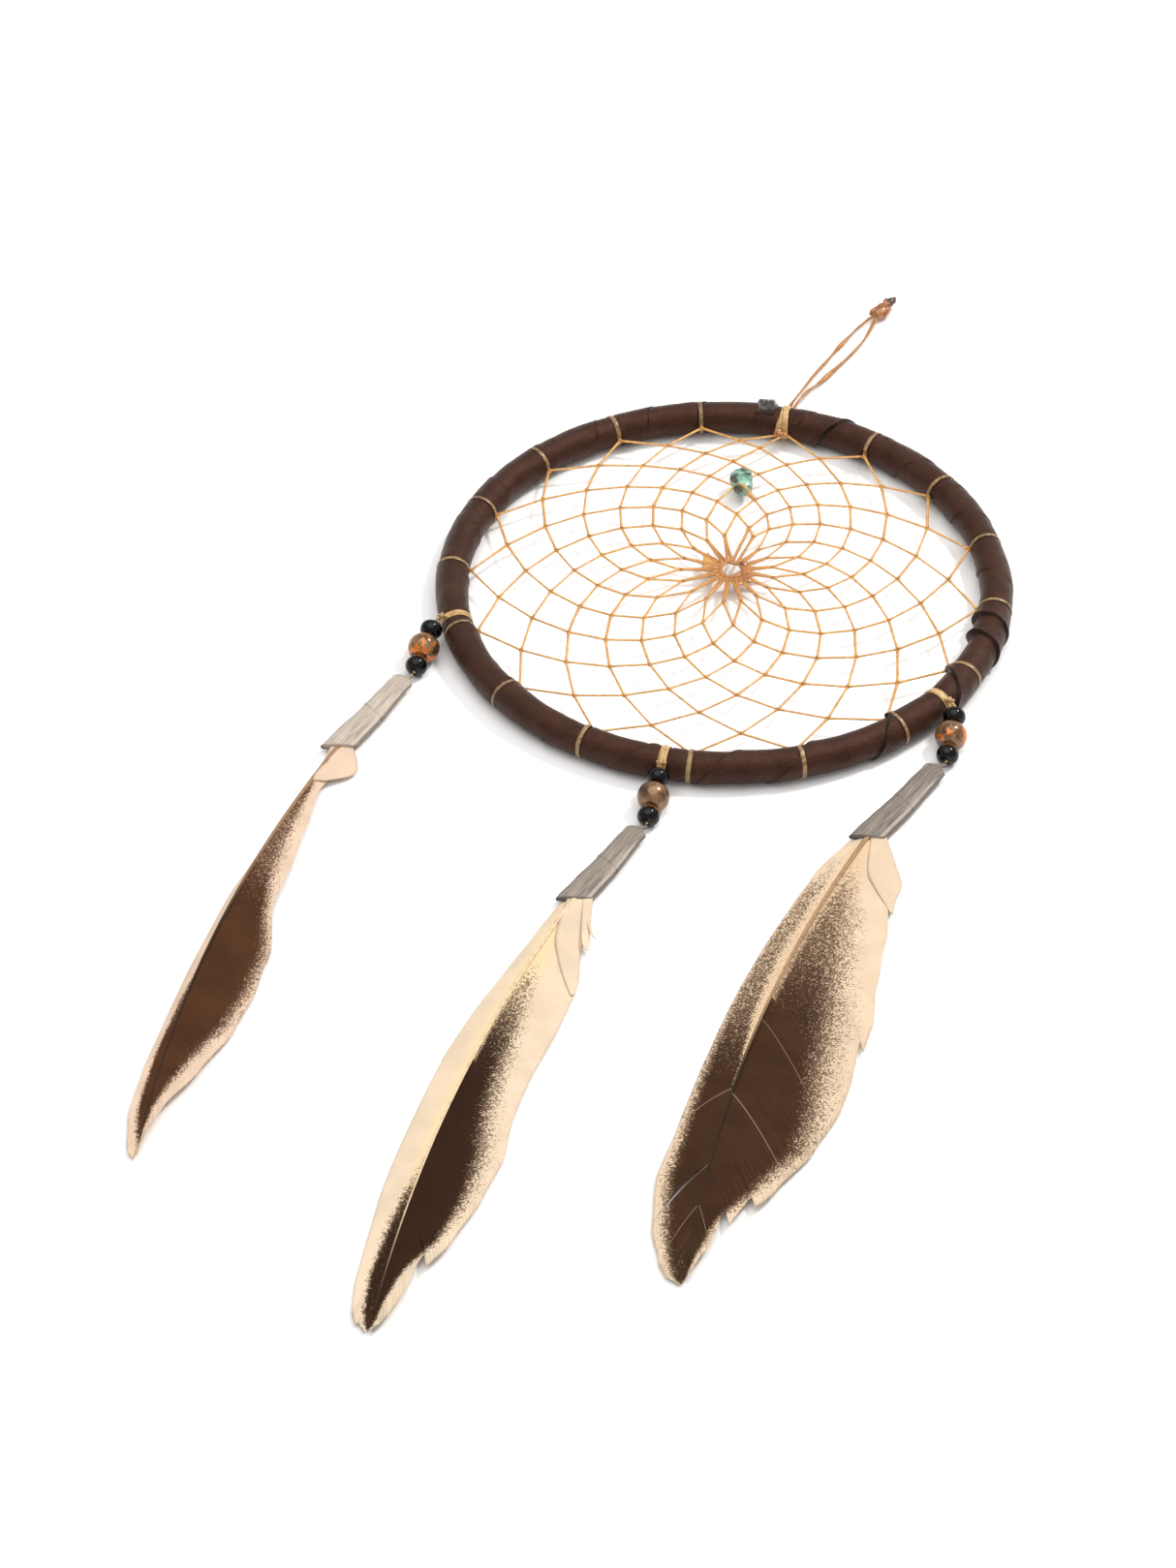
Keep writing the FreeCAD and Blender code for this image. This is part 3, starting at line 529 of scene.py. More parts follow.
def lap_relief_and_shadow(degrees, around, spot):
    """Height of the laps at a point on the tube, and how dark their edges are there: the cut edge plus a
    painted shadow at each step.
    """
    rise = dark = 0.0
    inner = (1 - math.cos(around)) / 2
    bunched = 0.50 + 0.60 * inner ** 3
    for number, (top, slant, shade, height, black) in enumerate(LAP_EDGES):
        bend = 0.9 * wobble(spot, 5.0, number * 2.1)
        lean = ((math.degrees(around) + 90.0) % 360.0 - 180.0) / 360.0 * slant
        past = near(degrees, top + lean) + bend
        if not -3.0 < past < 26.0:
            continue
        length = mix(11.0, 5.0, inner ** 2)
        lip = 1 + 0.55 * (black > 0.5) * math.exp(-((past - 0.4) / 0.8) ** 2)
        rise += height * bunched * lip * smooth(-0.45, 0.10, past) * math.exp(-max(past, 0.0) / length)
        # Painted shadow: a dark line at the foot of each lap's step, together with its black cut edge, fading
        # on the tube's underside.
        shown = smooth(0.02, 0.5, max(0.0, math.sin(around) * 0.6 + 0.75))
        width = 0.30 + black * 0.42
        dark = max(dark, shade * shown * smooth(width, width * 0.55, abs(past + width * 0.40)))
    return rise, dark


def make_leather():
    pile = Pile()
    around_steps, hoop_steps = 52, 1760
    rows, edges = [], []
    for i in range(hoop_steps):
        degrees = 360.0 * i / hoop_steps
        row, line = [], []
        pressed = pinch(degrees)
        for j in range(around_steps):
            around = TURN * j / around_steps
            spot = on_tube(degrees, around, TUBE_RADIUS)
            rise, dark = lap_relief_and_shadow(degrees, around, spot)
            lump = 0.20 * wobble(spot, 9.0, 7.7) + 0.07 * wobble(spot, 2.6, 1.2)
            radius = TUBE_RADIUS - LEATHER_SINK + rise + lump - pressed
            if math.sin(around) < FLAT_BACK:
                radius = min(radius, TUBE_RADIUS)
            row.append(on_tube(degrees, around, radius))
            # Painted shade where the sinew presses into the leather, added to the laps' dark edges.
            line.append(min(dark + 0.25 * pressed, 1.0))
        rows.append(row)
        edges.append(line)
    pile.grid(rows, round_rows=True, closed=True, numbers={"edge": edges})
    pile.piece("leather", "hoop", LEATHER, ["leather_wrap", "hoop_core"])


def make_strip_end():
    """The glued end of the leather strip, beside the binding: a wrinkled flap with a pale, glossy rim."""
    pile = Pile()
    steps_u, steps_v = 22, 26
    rows, marks = [], []
    for i in range(steps_u + 1):
        share = i / steps_u
        row, line = [], []
        for lift, order in ((1.0, 1), (0.0, -1)):
            for j in range(steps_v + 1)[::order]:
                side = j / steps_v
                around = mix(0.22, 0.66, side) * math.pi
                degrees = BINDING_ANGLE + mix(6.3, 2.3, share) + 0.3 * math.sin(side * 7)
                rim = smooth(0.0, 0.14, share) * smooth(1.0, 0.86, share)
                rim *= smooth(0.0, 0.12, side) * smooth(1.0, 0.88, side)
                spot = on_tube(degrees, around, TUBE_RADIUS)
                crumple = 0.32 * wobble(spot, 1.5, 4.0) + 0.2 * wobble(spot, 0.8, 2.0)
                height = mix(-0.5, 0.45 + 0.75 * rim + crumple * rim, lift)
                row.append(on_tube(degrees, around, TUBE_RADIUS + height))
                pale = (1 - rim) * smooth(0.75, 0.1, side)
                line.append(lift * pale)
        rows.append(row)
        marks.append(line)
    pile.tube(rows, {"pale": marks})
    paint = Paint("leather_glued", Specular_IOR_Level=0.4, Coat_Weight=0.3, Coat_Roughness=0.15)
    tone = paint.noise(800, 4)
    base = paint.blend(paint.span(tone, 0.35, 0.65), (0.010, 0.006, 0.005), (0.055, 0.034, 0.027))
    paint.colour(paint.blend(paint.number("pale"), base, (0.30, 0.26, 0.235)))
    paint.rough(paint.span(tone, 0.3, 0.7, 0.22, 0.4))
    paint.bump(tone, 0.7, 0.4)
    pile.piece("strip_end", "hoop", paint.material, ["wrap_tail"])


def wrap_radius(degrees, around):
    """The leather's own surface, where sinew lies on it."""
    spot = on_tube(degrees, around, TUBE_RADIUS)
    return TUBE_RADIUS - LEATHER_SINK + lap_relief_and_shadow(degrees, around, spot)[0] - pinch(degrees)


def ribbon_round(pile, degrees, width, thick, slant, start, end, lift, shift=0.0):
    """A flat strand round the tube; slant moves it along the hoop as it goes round."""
    steps = max(int(abs(end - start) / TURN * 72), 8)
    path = []
    for i in range(steps + 1):
        share = i / steps
        around = mix(start, end, share)
        along = slant * (share - 0.5) + shift
        angle = degrees + along / HOOP_RADIUS * 180 / math.pi
        radius = max(wrap_radius(angle + step, around) for step in (-0.4, 0.0, 0.4)) + lift + 0.18
        if math.sin(around) < FLAT_BACK:
            radius = min(radius, TUBE_RADIUS - thick / 2)
        path.append(on_tube(angle, around, radius))

    def away(share):
        around = mix(start, end, share)
        return direction(degrees) * math.cos(around) + UP * math.sin(around)

    pile.tube(strip_rows(path, width / 2, thick / 2, away))


def make_hitches():
    pile = Pile()
    uneven = random.Random(11)
    for index in range(1, HITCH_COUNT):
        angle = hitch_angle(index)
        width = uneven.uniform(0.95, 1.35)
        slant = uneven.uniform(-0.9, 0.9)
        ribbon_round(pile, angle, width, 0.26, slant, math.pi, math.pi + TURN, -0.06)
    pile.piece("hitches", "hoop", HITCH_SINEW, ["web_hitches"])


def band_pin(degrees):
    """Where a band's pin goes through the eye of its pendant's cord."""
    return direction(degrees) * (HOOP_RADIUS + PIN_REACH) + UP * PIN_HEIGHT


def make_bands():
    """Each pendant's band is wide flat sinew, its last turn narrower, with the pin for the cord's eye."""
    for side, angle in BAND_ANGLES.items():
        pile = Pile()
        for shift, width, slant, lift in ((0.0, 2.3, 0.15, -0.05), (-0.35, 1.1, -0.5, 0.06)):
            ribbon_round(pile, angle, width, 0.28, slant, -0.2, TURN - 0.2, lift, shift)
        pin = band_pin(angle)
        hand = -1.0 if side == "right" else 1.0
        elbow = pin + Vector((hand * 1.05, 0, 0))
        centre, out = tube_frame(angle)
        foot = centre + (elbow - centre).normalized() * 4.2
        pile.tube(strip_rows([foot, (foot + elbow) * 0.5, elbow], 0.42, 0.36, out))
        path = [elbow + Vector((-hand * 2.0 * share, 0, 0)) for share in (-0.08, 0.15, 0.4, 0.7, 1.0)]
        pile.tube(strip_rows(path, 0.3, 0.3))
        for spot, size in ((elbow, 0.80), (path[-1], 0.72)):
            pile.tube(blob_rows(spot, Vector((1, 0, 0)), size, size, size, 3.0 + size, 0.1, 8, 10))
        pile.piece(f"{side}_band_turns", "hoop", BAND_SINEW, [f"{side}_band"])


# ---- web ----

class Web:
    """One strand of sinew, hitched round the hoop, then knotted into its own previous turn."""

    FADE = 0.25
    LEAST_LENGTH = 0.3
    SWEEPS = 500
    TOTAL = 158
    REACH = 67.1
    CENTRE = Vector((0.2, 7.6, 0.0))
    EYE_RING = 3.0

    def __init__(self):
        self.count = HITCH_COUNT
        anchors = [direction(hitch_angle(index)) * self.REACH for index in range(self.count)]
        anchors[0] -= direction(hitch_angle(0)) * 0.5
        self.nodes = anchors + [anchors[0]]
        while len(self.nodes) < self.TOTAL:
            tied = self.nodes[len(self.nodes) - self.count - 1] + self.nodes[len(self.nodes) - self.count]
            self.nodes.append(tied * 0.45 + self.CENTRE * 0.1)
        self.first_open = self.TOTAL - self.count - 1
        for _ in range(self.SWEEPS):
            for index in range(self.count + 1, self.TOTAL):
                self.nodes[index] = self.balance(index)

    def spoke(self, index):
        middle = (self.nodes[index] + self.nodes[index + 1]) * 0.5
        return self.CENTRE + (middle - self.CENTRE).normalized() * self.EYE_RING

    def balance(self, index):
        """Where the pulls of the strands at a node cancel out."""
        found = [(self.nodes[index - self.count - 1], index), (self.nodes[index - self.count], index)]
        for later in (index + self.count, index + self.count + 1):
            if later < self.TOTAL:
                found.append((self.nodes[later], later))
        if index > self.first_open:
            found.append((self.spoke(index - 1), self.TOTAL))
        if self.first_open <= index < self.TOTAL - 1:
            found.append((self.spoke(index), self.TOTAL))
        here, place, weight = self.nodes[index], Vector((0, 0, 0)), 0.0
        for other, tied in found:
            tension = math.exp(-self.FADE * tied / (self.count + 0.5))
            pull = tension / math.sqrt((other - here).length + self.LEAST_LENGTH)
            place += other * pull
            weight += pull
        return place / weight


def lift_to_web(point, above=0.0):
    """The web lies level with the tube's centre, a little slack towards its eye."""
    inward = 1 - min((point - Web.CENTRE).length / 67.0, 1.0)
    return Vector((point.x, point.y, TUBE_RADIUS - 0.35 * inward ** 2 + above))


def strand(pile, start, end, half_width, half_thick, burnt, seed):
    """One stretch between two knots, a touch wider where it enters them."""
    steps = 7
    side = (end - start).cross(UP).normalized()
    points, marks = [], []
    for i in range(steps + 1):
        share = i / steps
        point = start.lerp(end, share)
        point += side * (0.10 * math.sin(math.pi * share) * wobble(point, 9.0, seed))
        points.append(point)
        marks.append(mix(*burnt, share))
    width = lambda share: half_width * (1.0 + 0.45 * abs(2 * share - 1) ** 5)
    twist = lambda share: 0.35 * wobble((share * 3, seed, 0), 1.0, seed)
    pile.tube(strip_rows(points, width, half_thick, UP, 6, twist), {"burnt": marks})


def knot(pile, centre, across, size, burnt, seed):
    """A half hitch round the outer strand: a small ring of sinew round a lump."""
    axis = across.normalized()
    side = UP.cross(axis).normalized()
    points = []
    for i in range(13):
        turn = TURN * i / 12
        away = side * (size * 0.50 * math.cos(turn)) + UP * (size * 0.52 * math.sin(turn))
        points.append(centre + away + axis * (size * 0.35 * (i / 12 - 0.5)))
    loop = strip_rows(points, size * 0.26, size * 0.22, axis, 6)
    lump = blob_rows(centre, axis, size * 1.15, size * 1.0, size * 0.9, seed, 0.15, 6, 8)
    for rows in (loop, lump):
        pile.tube(rows, {"burnt": [burnt] * len(rows)})


# The web's knot from which the chip hangs.
CHIP_KNOT = 88


def make_web():
    web = Web()
    pile = Pile()
    count, total, nodes = web.count, web.TOTAL, web.nodes
    uneven = random.Random(2)
    for index in range(count + 1, total):
        tied_left, tied_right = nodes[index - count - 1], nodes[index - count]
        here = lift_to_web(nodes[index])
        near_eye = smooth(16.0, 5.0, (here - Web.CENTRE).length)
        half = mix(0.34, 0.31, near_eye) * uneven.uniform(0.86, 1.14)
        burnt = (0.12 * near_eye, 0.35 * near_eye)
        for other in (tied_left, tied_right):
            strand(pile, lift_to_web(other), here, half, 0.27, burnt, uneven.uniform(0, 50))
        size = mix(0.80, 0.74, near_eye)
        knot(pile, here, tied_right - tied_left, size, 0.45 + 0.3 * near_eye, uneven.uniform(0, 9))
    for index in range(1, count):
        knot(pile, lift_to_web(nodes[index]), nodes[index].cross(UP), 1.15, 0.35, index)
    for index in range(web.first_open, total - 1):
        eye = lift_to_web(web.spoke(index))
        for other in (nodes[index], nodes[index + 1]):
            strand(pile, lift_to_web(other), eye, 0.42, 0.30, (0.3, 0.8), uneven.uniform(0, 50))
    make_eye(pile)
    pile.piece("web", "hoop", WEB_SINEW, ["web_net"])
    return web


def make_eye(pile):
    """The rim of the web's open eye, drawn together and melted."""
    steps = 60
    path = []
    for i in range(steps + 1):
        turn = TURN * i / steps
        ragged = 1 + 0.05 * math.sin(3 * turn + 1) + 0.04 * math.sin(7 * turn)
        away = Vector((math.cos(turn), math.sin(turn), 0)) * (Web.EYE_RING * ragged)
        path.append(lift_to_web(Web.CENTRE + away))
    rows = strip_rows(path, lambda s: 0.62 + 0.15 * math.sin(s * TURN * 5), 0.42)
    pile.grid(rows, round_rows=True, numbers={"burnt": [0.85] * len(rows)})


def uneven_marks(rows, level, swing, scale, seed):
    """A number for every point of a lump, which wavers about a level and stays between 0 and 1."""
    marks = []
    for row in rows:
        marks.append([min(max(level + swing * wobble(point, scale, seed), 0.0), 1.0) for point in row])
    return marks


def make_tie_off():
    """The last knot of the web: melted lumps of sinew beside the eye."""
    pile = Pile()
    base = UP * (TUBE_RADIUS - 0.3)
    lumps = (
        ((4.3, 8.0, 0.1), (0.5, -1.0, 0), 5.6, 3.0, 1.6, 0.05),
        ((4.9, 5.2, 0.0), (0.6, -1.0, 0), 4.6, 2.6, 1.4, 0.12),
        ((2.9, 10.2, 0.3), (1.0, -0.3, 0), 2.2, 1.5, 1.3, 0.30),
        ((3.6, 3.6, -0.1), (0.2, -1.0, 0), 3.4, 1.7, 1.0, 0.10),
        ((5.9, 7.4, -0.1), (1.0, -0.6, 0), 3.0, 1.8, 0.9, 0.0),
        ((0.6, 4.1, -0.1), (1.0, -0.2, 0), 3.6, 1.3, 0.9, 0.05),
    )
    for number, (offset, axis, length, width, height, burnt) in enumerate(lumps):
        rows = blob_rows(base + Vector(offset), Vector(axis), length, width, height, number * 3.3, 0.25)
        pile.tube(rows, {"burnt": uneven_marks(rows, burnt, burnt * 2.5, 0.9, 5.0)})
    pile.piece("tie_off", "hoop", MELTED, ["web_knot"])


def make_wax_film():
    """A thin film of wax between two strands beside the eye."""
    film = Pile()
    outline = [
        (-8.5, 8.3), (-8.8, 11.7), (-7.7, 13.4), (-4.5, 11.4),
        (-3.0, 9.3), (-3.3, 7.6), (-4.4, 6.9), (-7.7, 5.5),
    ]
    middle = Vector((-5.4, 9.2, 0.0))
    half = [(0.16, 0.0), (0.14, 0.5), (0.10, 0.85)]
    rows = []
    for lift, spread in half + [(0.0, 1.0)] + [(-lift, spread) for lift, spread in reversed(half)]:
        row = []
        for k in range(64):
            place = k / 64 * len(outline)
            first = int(place)
            corner, after = (Vector((*outline[index % len(outline)], 0.0)) for index in (first, first + 1))
            edge = corner.lerp(after, place - first)
            edge += (middle - edge) * (0.10 + 0.12 * math.sin((place - first) * math.pi))
            row.append(lift_to_web(middle.lerp(edge, spread), lift))
        rows.append(row)
    film.grid(rows, round_rows=True, numbers={"burnt": [0.12] * len(rows)})
    film.piece("wax_film", "hoop", WEB_SINEW)


def make_chip(web):
    """A tumbled chip of turquoise, with a strand of the web across its face."""
    pile = Pile()
    centre = Vector((-5.4, 43.5, TUBE_RADIUS))
    outline = [
        (-3.7, 2.2), (-2.9, 3.9), (-1.0, 5.2), (1.4, 4.9), (2.4, 2.6), (3.0, 0.2),
        (3.3, -2.2), (2.2, -4.4), (0.9, -5.0), (-1.4, -3.5), (-2.3, -1.2), (-3.5, 0.4),
    ]
    steps, rings = 60, 16
    count = len(outline)
    rows = []
    for i in range(rings + 1):
        polar = math.pi * (0.015 + 0.97 * i / rings)
        shrink = math.sin(polar) ** 0.62
        height = -math.copysign(abs(math.cos(polar)) ** 0.8, math.cos(polar)) * 2.0
        row = []
        for k in range(steps):
            place = k / steps * count
            first = int(place) % count
            corner, after = Vector(outline[first]), Vector(outline[(first + 1) % count])
            part = place - int(place)
            flat = corner.lerp(after, smooth(0.0, 1.0, part) * 0.5 + part * 0.5)
            point = centre + Vector((flat.x * shrink, flat.y * shrink, height))
            bump = 0.22 * wobble(point, 2.2, 6.0)
            row.append(point + (point - centre).normalized() * bump)
        rows.append(row)
    pile.tube(rows)
    chip = pile.piece("chip", "hoop", turquoise_paint(), ["turquoise_chip"])
    chip.modifiers.new("soft", "SUBSURF").levels = 1
    chip.modifiers["soft"].render_levels = 1
    threads = Pile()
    end, after = web.nodes[CHIP_KNOT], web.nodes[CHIP_KNOT + HITCH_COUNT]
    over = [lift_to_web(end)]
    for near_end, near_after, height in ((0.72, 0.28, 6.35), (0.4, 0.6, 6.25)):
        x, y = (end[i] * near_end + after[i] * near_after for i in (0, 1))
        over.append(Vector((x, y, height)))
    over.append(lift_to_web(after))
    fine = []
    for i in range(len(over) - 1):
        for step in range(6):
            fine.append(over[i].lerp(over[i + 1], step / 6))
    fine.append(over[-1])
    threads.tube(strip_rows(fine, 0.42, 0.28))
    threads.piece("chip_thread", "hoop", WEB_SINEW)


# ---- hanging loop ----

LOOP_ROUTES = {
    "loop_strand_left": [
        (-0.1, 75.8, 5.0), (0.0, 81.5, 3.9), (0.3, 86.5, 2.4), (0.9, 92.0, 1.2), (2.0, 98.4, 0.75),
        (3.9, 104.8, 0.7), (5.6, 110.8, 0.7), (7.4, 117.0, 0.75), (9.7, 123.0, 1.1), (12.4, 127.6, 1.6),
    ],
    "loop_strand_right": [
        (1.1, 75.8, 5.0), (1.2, 81.5, 3.9), (1.6, 86.5, 2.4), (2.9, 91.8, 1.2), (5.0, 96.9, 0.75),
        (7.7, 103.4, 0.7), (10.1, 109.9, 0.7), (12.0, 116.2, 0.75), (13.0, 122.0, 1.1), (13.6, 127.0, 1.6),
    ],
}


def spline_points(route, samples=9):
    """Points along the smooth NURBS line that a route's points control."""
    curve = bpy.data.curves.new("route", "CURVE")
    curve.dimensions = "3D"
    curve.resolution_u = samples
    spline = curve.splines.new("NURBS")
    spline.points.add(len(route) - 1)
    for point, place in zip(spline.points, route):
        point.co = (*place, 1.0)
    spline.order_u = 3
    spline.use_endpoint_u = True
    holder = bpy.data.objects.new("route", curve)
    bpy.context.scene.collection.objects.link(holder)
    bpy.context.view_layer.update()
    line = bpy.data.meshes.new_from_object(holder)
    points = [vertex.co.copy() for vertex in line.vertices]
    bpy.data.objects.remove(holder)
    return points


def path_length(points):
    return sum((after - before).length for before, after in zip(points, points[1:]))


def make_loop():
    knot_piece = make_end_knot()
    for number, (node, route) in enumerate(LOOP_ROUTES.items()):
        points = spline_points(route)
        pile = Pile()
        turns = (2.3, -1.9)[number]
        twist = lambda s: 0.5 + turns * math.sin(s * 4.2 + number) + 0.5 * math.sin(s * 13 + number)
        width = lambda s: 0.72 + 0.07 * math.sin(s * 23 + number * 2)
        pile.tube(strip_rows(points, width, 0.30, UP, 8, twist))
        ribbon = pile.piece(node + "_ribbon", "hanging_loop", LOOP_SINEW, [node])


def make_end_knot():
    pile = Pile()
    centre = Vector((14.4, 130.3, 2.0))
    lumps = (
        (centre, (0.5, 1.0, 0.1), 6.4, 4.2, 3.4, 0.15, 1.0),
        (centre + Vector((-1.3, -0.9, 0.1)), (1.0, 0.5, 0.2), 4.4, 2.4, 2.6, 0.05, 4.0),
        (centre + Vector((1.2, -0.3, 0.2)), (0.2, 1.0, 0.3), 4.2, 2.2, 2.6, 0.25, 6.0),
        (centre + Vector((1.5, 3.2, 0.5)), (0.6, 1.0, 0.3), 4.6, 2.5, 2.4, 0.9, 8.0),
        (centre + Vector((0.2, 4.3, 0.1)), (0.1, 1.0, 0.0), 2.4, 1.5, 1.4, 0.3, 9.0),
    )
    for spot, axis, length, width, height, burnt, seed in lumps:
        rows = blob_rows(spot, Vector(axis), length, width, height, seed, 0.22)
        pile.tube(rows, {"burnt": uneven_marks(rows, burnt, 0.5, 1.3, seed)})
    return pile.piece("loop_knot", "hanging_loop", MELTED, ["end_knot"])


def make_binding():
    """Flat turns of sinew that cross on top of the hoop, and the melted knot on the web's side."""
    pile = Pile()
    start, end = -0.15 * math.pi, 1.12 * math.pi
    for slant, shift, lift, width in ((2.6, 0.1, -0.02, 1.9), (-2.4, 0.0, 0.22, 1.7), (0.6, 0.5, 0.10, 1.5)):
        ribbon_round(pile, BINDING_ANGLE, width, 0.30, slant, start, end, lift, shift)
    ribbon_round(pile, BINDING_ANGLE, 3.0, 0.28, 0.0, 1.05 * math.pi, 1.92 * math.pi, -0.06)
    pile.piece("binding", "hanging_loop", BAND_SINEW, ["hanger_binding"])
    pile = Pile()
    centre = direction(BINDING_ANGLE) * (Web.REACH - 1.3) + UP * (TUBE_RADIUS + 0.3)
    for offset, axis, length, width, height, burnt in (
        ((0, 0, 0), (1, 0.2, 0), 2.6, 2.0, 2.2, 0.1),
        ((-0.9, 0.3, 0.7), (1, 0.6, 0.3), 2.2, 1.2, 1.2, 0.3),
        ((1.0, -0.1, 0.4), (1, -0.5, 0.1), 2.0, 1.2, 1.3, 0.0),
    ):
        rows = blob_rows(centre + Vector(offset), Vector(axis), length, width, height, length * 2, 0.2)
        pile.tube(rows, {"burnt": [burnt] * len(rows)})
    pile.piece("binding_melt", "hoop", MELTED, ["binding_knot"])


# ---- pendants ----

PENDANTS = {
    "left": {
        "cord_reach": 6.0, "cord_direction": -93.7, "cuff_end": (-81.5, -84.0),
        "shaft_control": (-98.4, -160.9), "tip": (-87.3, -236.6),
        "vane": [
            (0.0, 1.4, 3.0), (0.1, 0.9, 3.4), (0.2, 1.0, 6.7), (0.3, 1.2, 9.0),
            (0.4, 2.1, 10.5), (0.5, 2.3, 15.0), (0.6, 2.6, 15.7), (0.7, 3.0, 14.2),
            (0.8, 3.8, 9.8), (0.9, 4.3, 3.7), (0.96, 3.0, 1.5), (0.985, 2.2, 1.0), (1.0, 0.3, 0.3),
        ],
    },
    "middle": {
        "cord_reach": 4.6, "cord_direction": -88.1, "cuff_end": (-8.8, -124.2),
        "shaft_control": (-25.0, -199.3), "tip": (-18.3, -276.4),
        "vane": [
            (0.0, 3.0, 4.4), (0.1, 3.6, 9.2), (0.2, 4.8, 14.3), (0.3, 6.2, 15.3),
            (0.4, 7.2, 15.0), (0.5, 7.2, 15.5), (0.6, 7.3, 17.6), (0.7, 7.4, 16.1),
            (0.8, 6.7, 13.1), (0.9, 6.2, 6.9), (0.96, 5.2, 4.2), (0.985, 3.8, 2.6), (1.0, 0.4, 0.4),
        ],
    },
    "right": {
        "cord_reach": 6.0, "cord_direction": -86.4, "cuff_end": (57.0, -84.0),
        "shaft_control": (38.5, -162.4), "tip": (48.4, -243.9),
        "vane": [
            (0.0, 3.6, 5.0), (0.1, 6.5, 13.8), (0.2, 7.3, 19.1), (0.3, 8.2, 22.4),
            (0.4, 8.7, 26.2), (0.5, 9.1, 26.9), (0.6, 9.5, 26.6), (0.7, 10.0, 23.4),
            (0.8, 11.5, 17.0), (0.9, 9.7, 7.4), (0.96, 6.6, 2.6), (0.985, 4.6, 1.4), (1.0, 0.4, 0.4),
        ],
    },
}
SLOPE = 13.5
BLACK_BEAD, GLASS_BEAD = (5.85, 4.6), (8.35, 7.2)
BEAD_GAP = 0.15


def lathe(pile, centre, axis, profile, numbers):
    """Points (radius, distance along the axis) turned about an axis."""
    side = UP.cross(axis).normalized()
    top = axis.cross(side)
    rows = [ring(centre + axis * along, side, top, radius, radius, 48) for radius, along in profile]
    pile.grid(rows, round_rows=True, closed=True, numbers=numbers)


def bead_profile(diameter, length, bore=0.56):
    """A rounded barrel with a softly rolled mouth at each end of its bore."""
    rim, half, widest = 0.30 * diameter, length / 2, diameter / 2
    profile = []
    for i in range(33):
        turn = math.pi * i / 32
        barrel = widest * (math.sin(turn) ** 0.72) if 0 < i < 32 else 0.0
        least = bore + 0.28 + (rim - bore - 0.28) * 0.35
        profile.append((max(barrel, least), -half * math.cos(turn)))
    rolled, inside = (bore + 0.10, half - 0.12), (bore, half - 0.45)
    mouth = [rolled, inside, (bore, 0.0), (bore, -inside[1]), (rolled[0], -rolled[1])]
    return profile + mouth


def make_bead(side, kind, centre, axis, size, material):
    pile = Pile()
    profile = bead_profile(*size)
    marks = [0.0 if 3 < i < 30 else 0.9 for i in range(len(profile))]
    lathe(pile, centre, axis, profile, {"mouth": marks})
    bead = f"{side}_{kind}_bead"
    pile.piece(f"{bead}_turned", bead, material, [bead])


def make_pendant_cord(side, pin, corner, end):
    """An eye round the band's pin, and the cord that runs from it through the beads."""
    pile = Pile()
    across = Vector((1, 0, 0))
    eye = []
    for i in range(25):
        turn = TURN * i / 24
        eye.append(pin + Vector((0, math.cos(turn), math.sin(turn))) * 0.6)
    pile.grid(strip_rows(eye, 0.24, 0.40, across), round_rows=True)
    start = pin + (corner - pin).normalized() * 0.75
    path = [start, start.lerp(corner, 0.5), start.lerp(corner, 0.8)]
    path += [corner.lerp(end, share) for share in (0.03, 0.08, 0.2, 0.5, 0.8, 1.0)]
    pile.tube(strip_rows(path, 0.47, 0.42, across))
    pile.piece(f"{side}_cord_twine", f"{side}_string", BAND_SINEW, [f"{side}_cord"])


class Shaft:
    """The feather's shaft: a quadratic curve from the cuff to the tip, arched off the table."""

    def __init__(self, pendant):
        self.start = Vector((*pendant["cuff_end"], 0))
        self.control = Vector((*pendant["shaft_control"], 0))
        self.tip = Vector((*pendant["tip"], 0))
        self.rows = pendant["vane"]
        self.length = path_length([self.point(i / 40) for i in range(41)])

    def point(self, share):
        rest = 1 - share
        place = self.start * rest ** 2 + self.control * (2 * rest * share) + self.tip * share ** 2
        height = 1.9 * rest + 0.6 * share + 1.3 * math.sin(math.pi * share)
        return place + UP * height

    def along(self, share):
        way = (self.control - self.start) * (1 - share) + (self.tip - self.control) * share
        return way.normalized()

    def across(self, share):
        way = self.along(share)
        return Vector((-way.y, way.x, 0))

    def width(self, share, side):
        share = min(max(share, 0.0), 1.0)
        column = 1 if side < 0 else 2
        for before, after in zip(self.rows, self.rows[1:]):
            if share <= after[0]:
                part = (share - before[0]) / (after[0] - before[0])
                return mix(before[column], after[column], smooth(0, 1, part) * 0.4 + part * 0.6)
        return self.rows[-1][column]


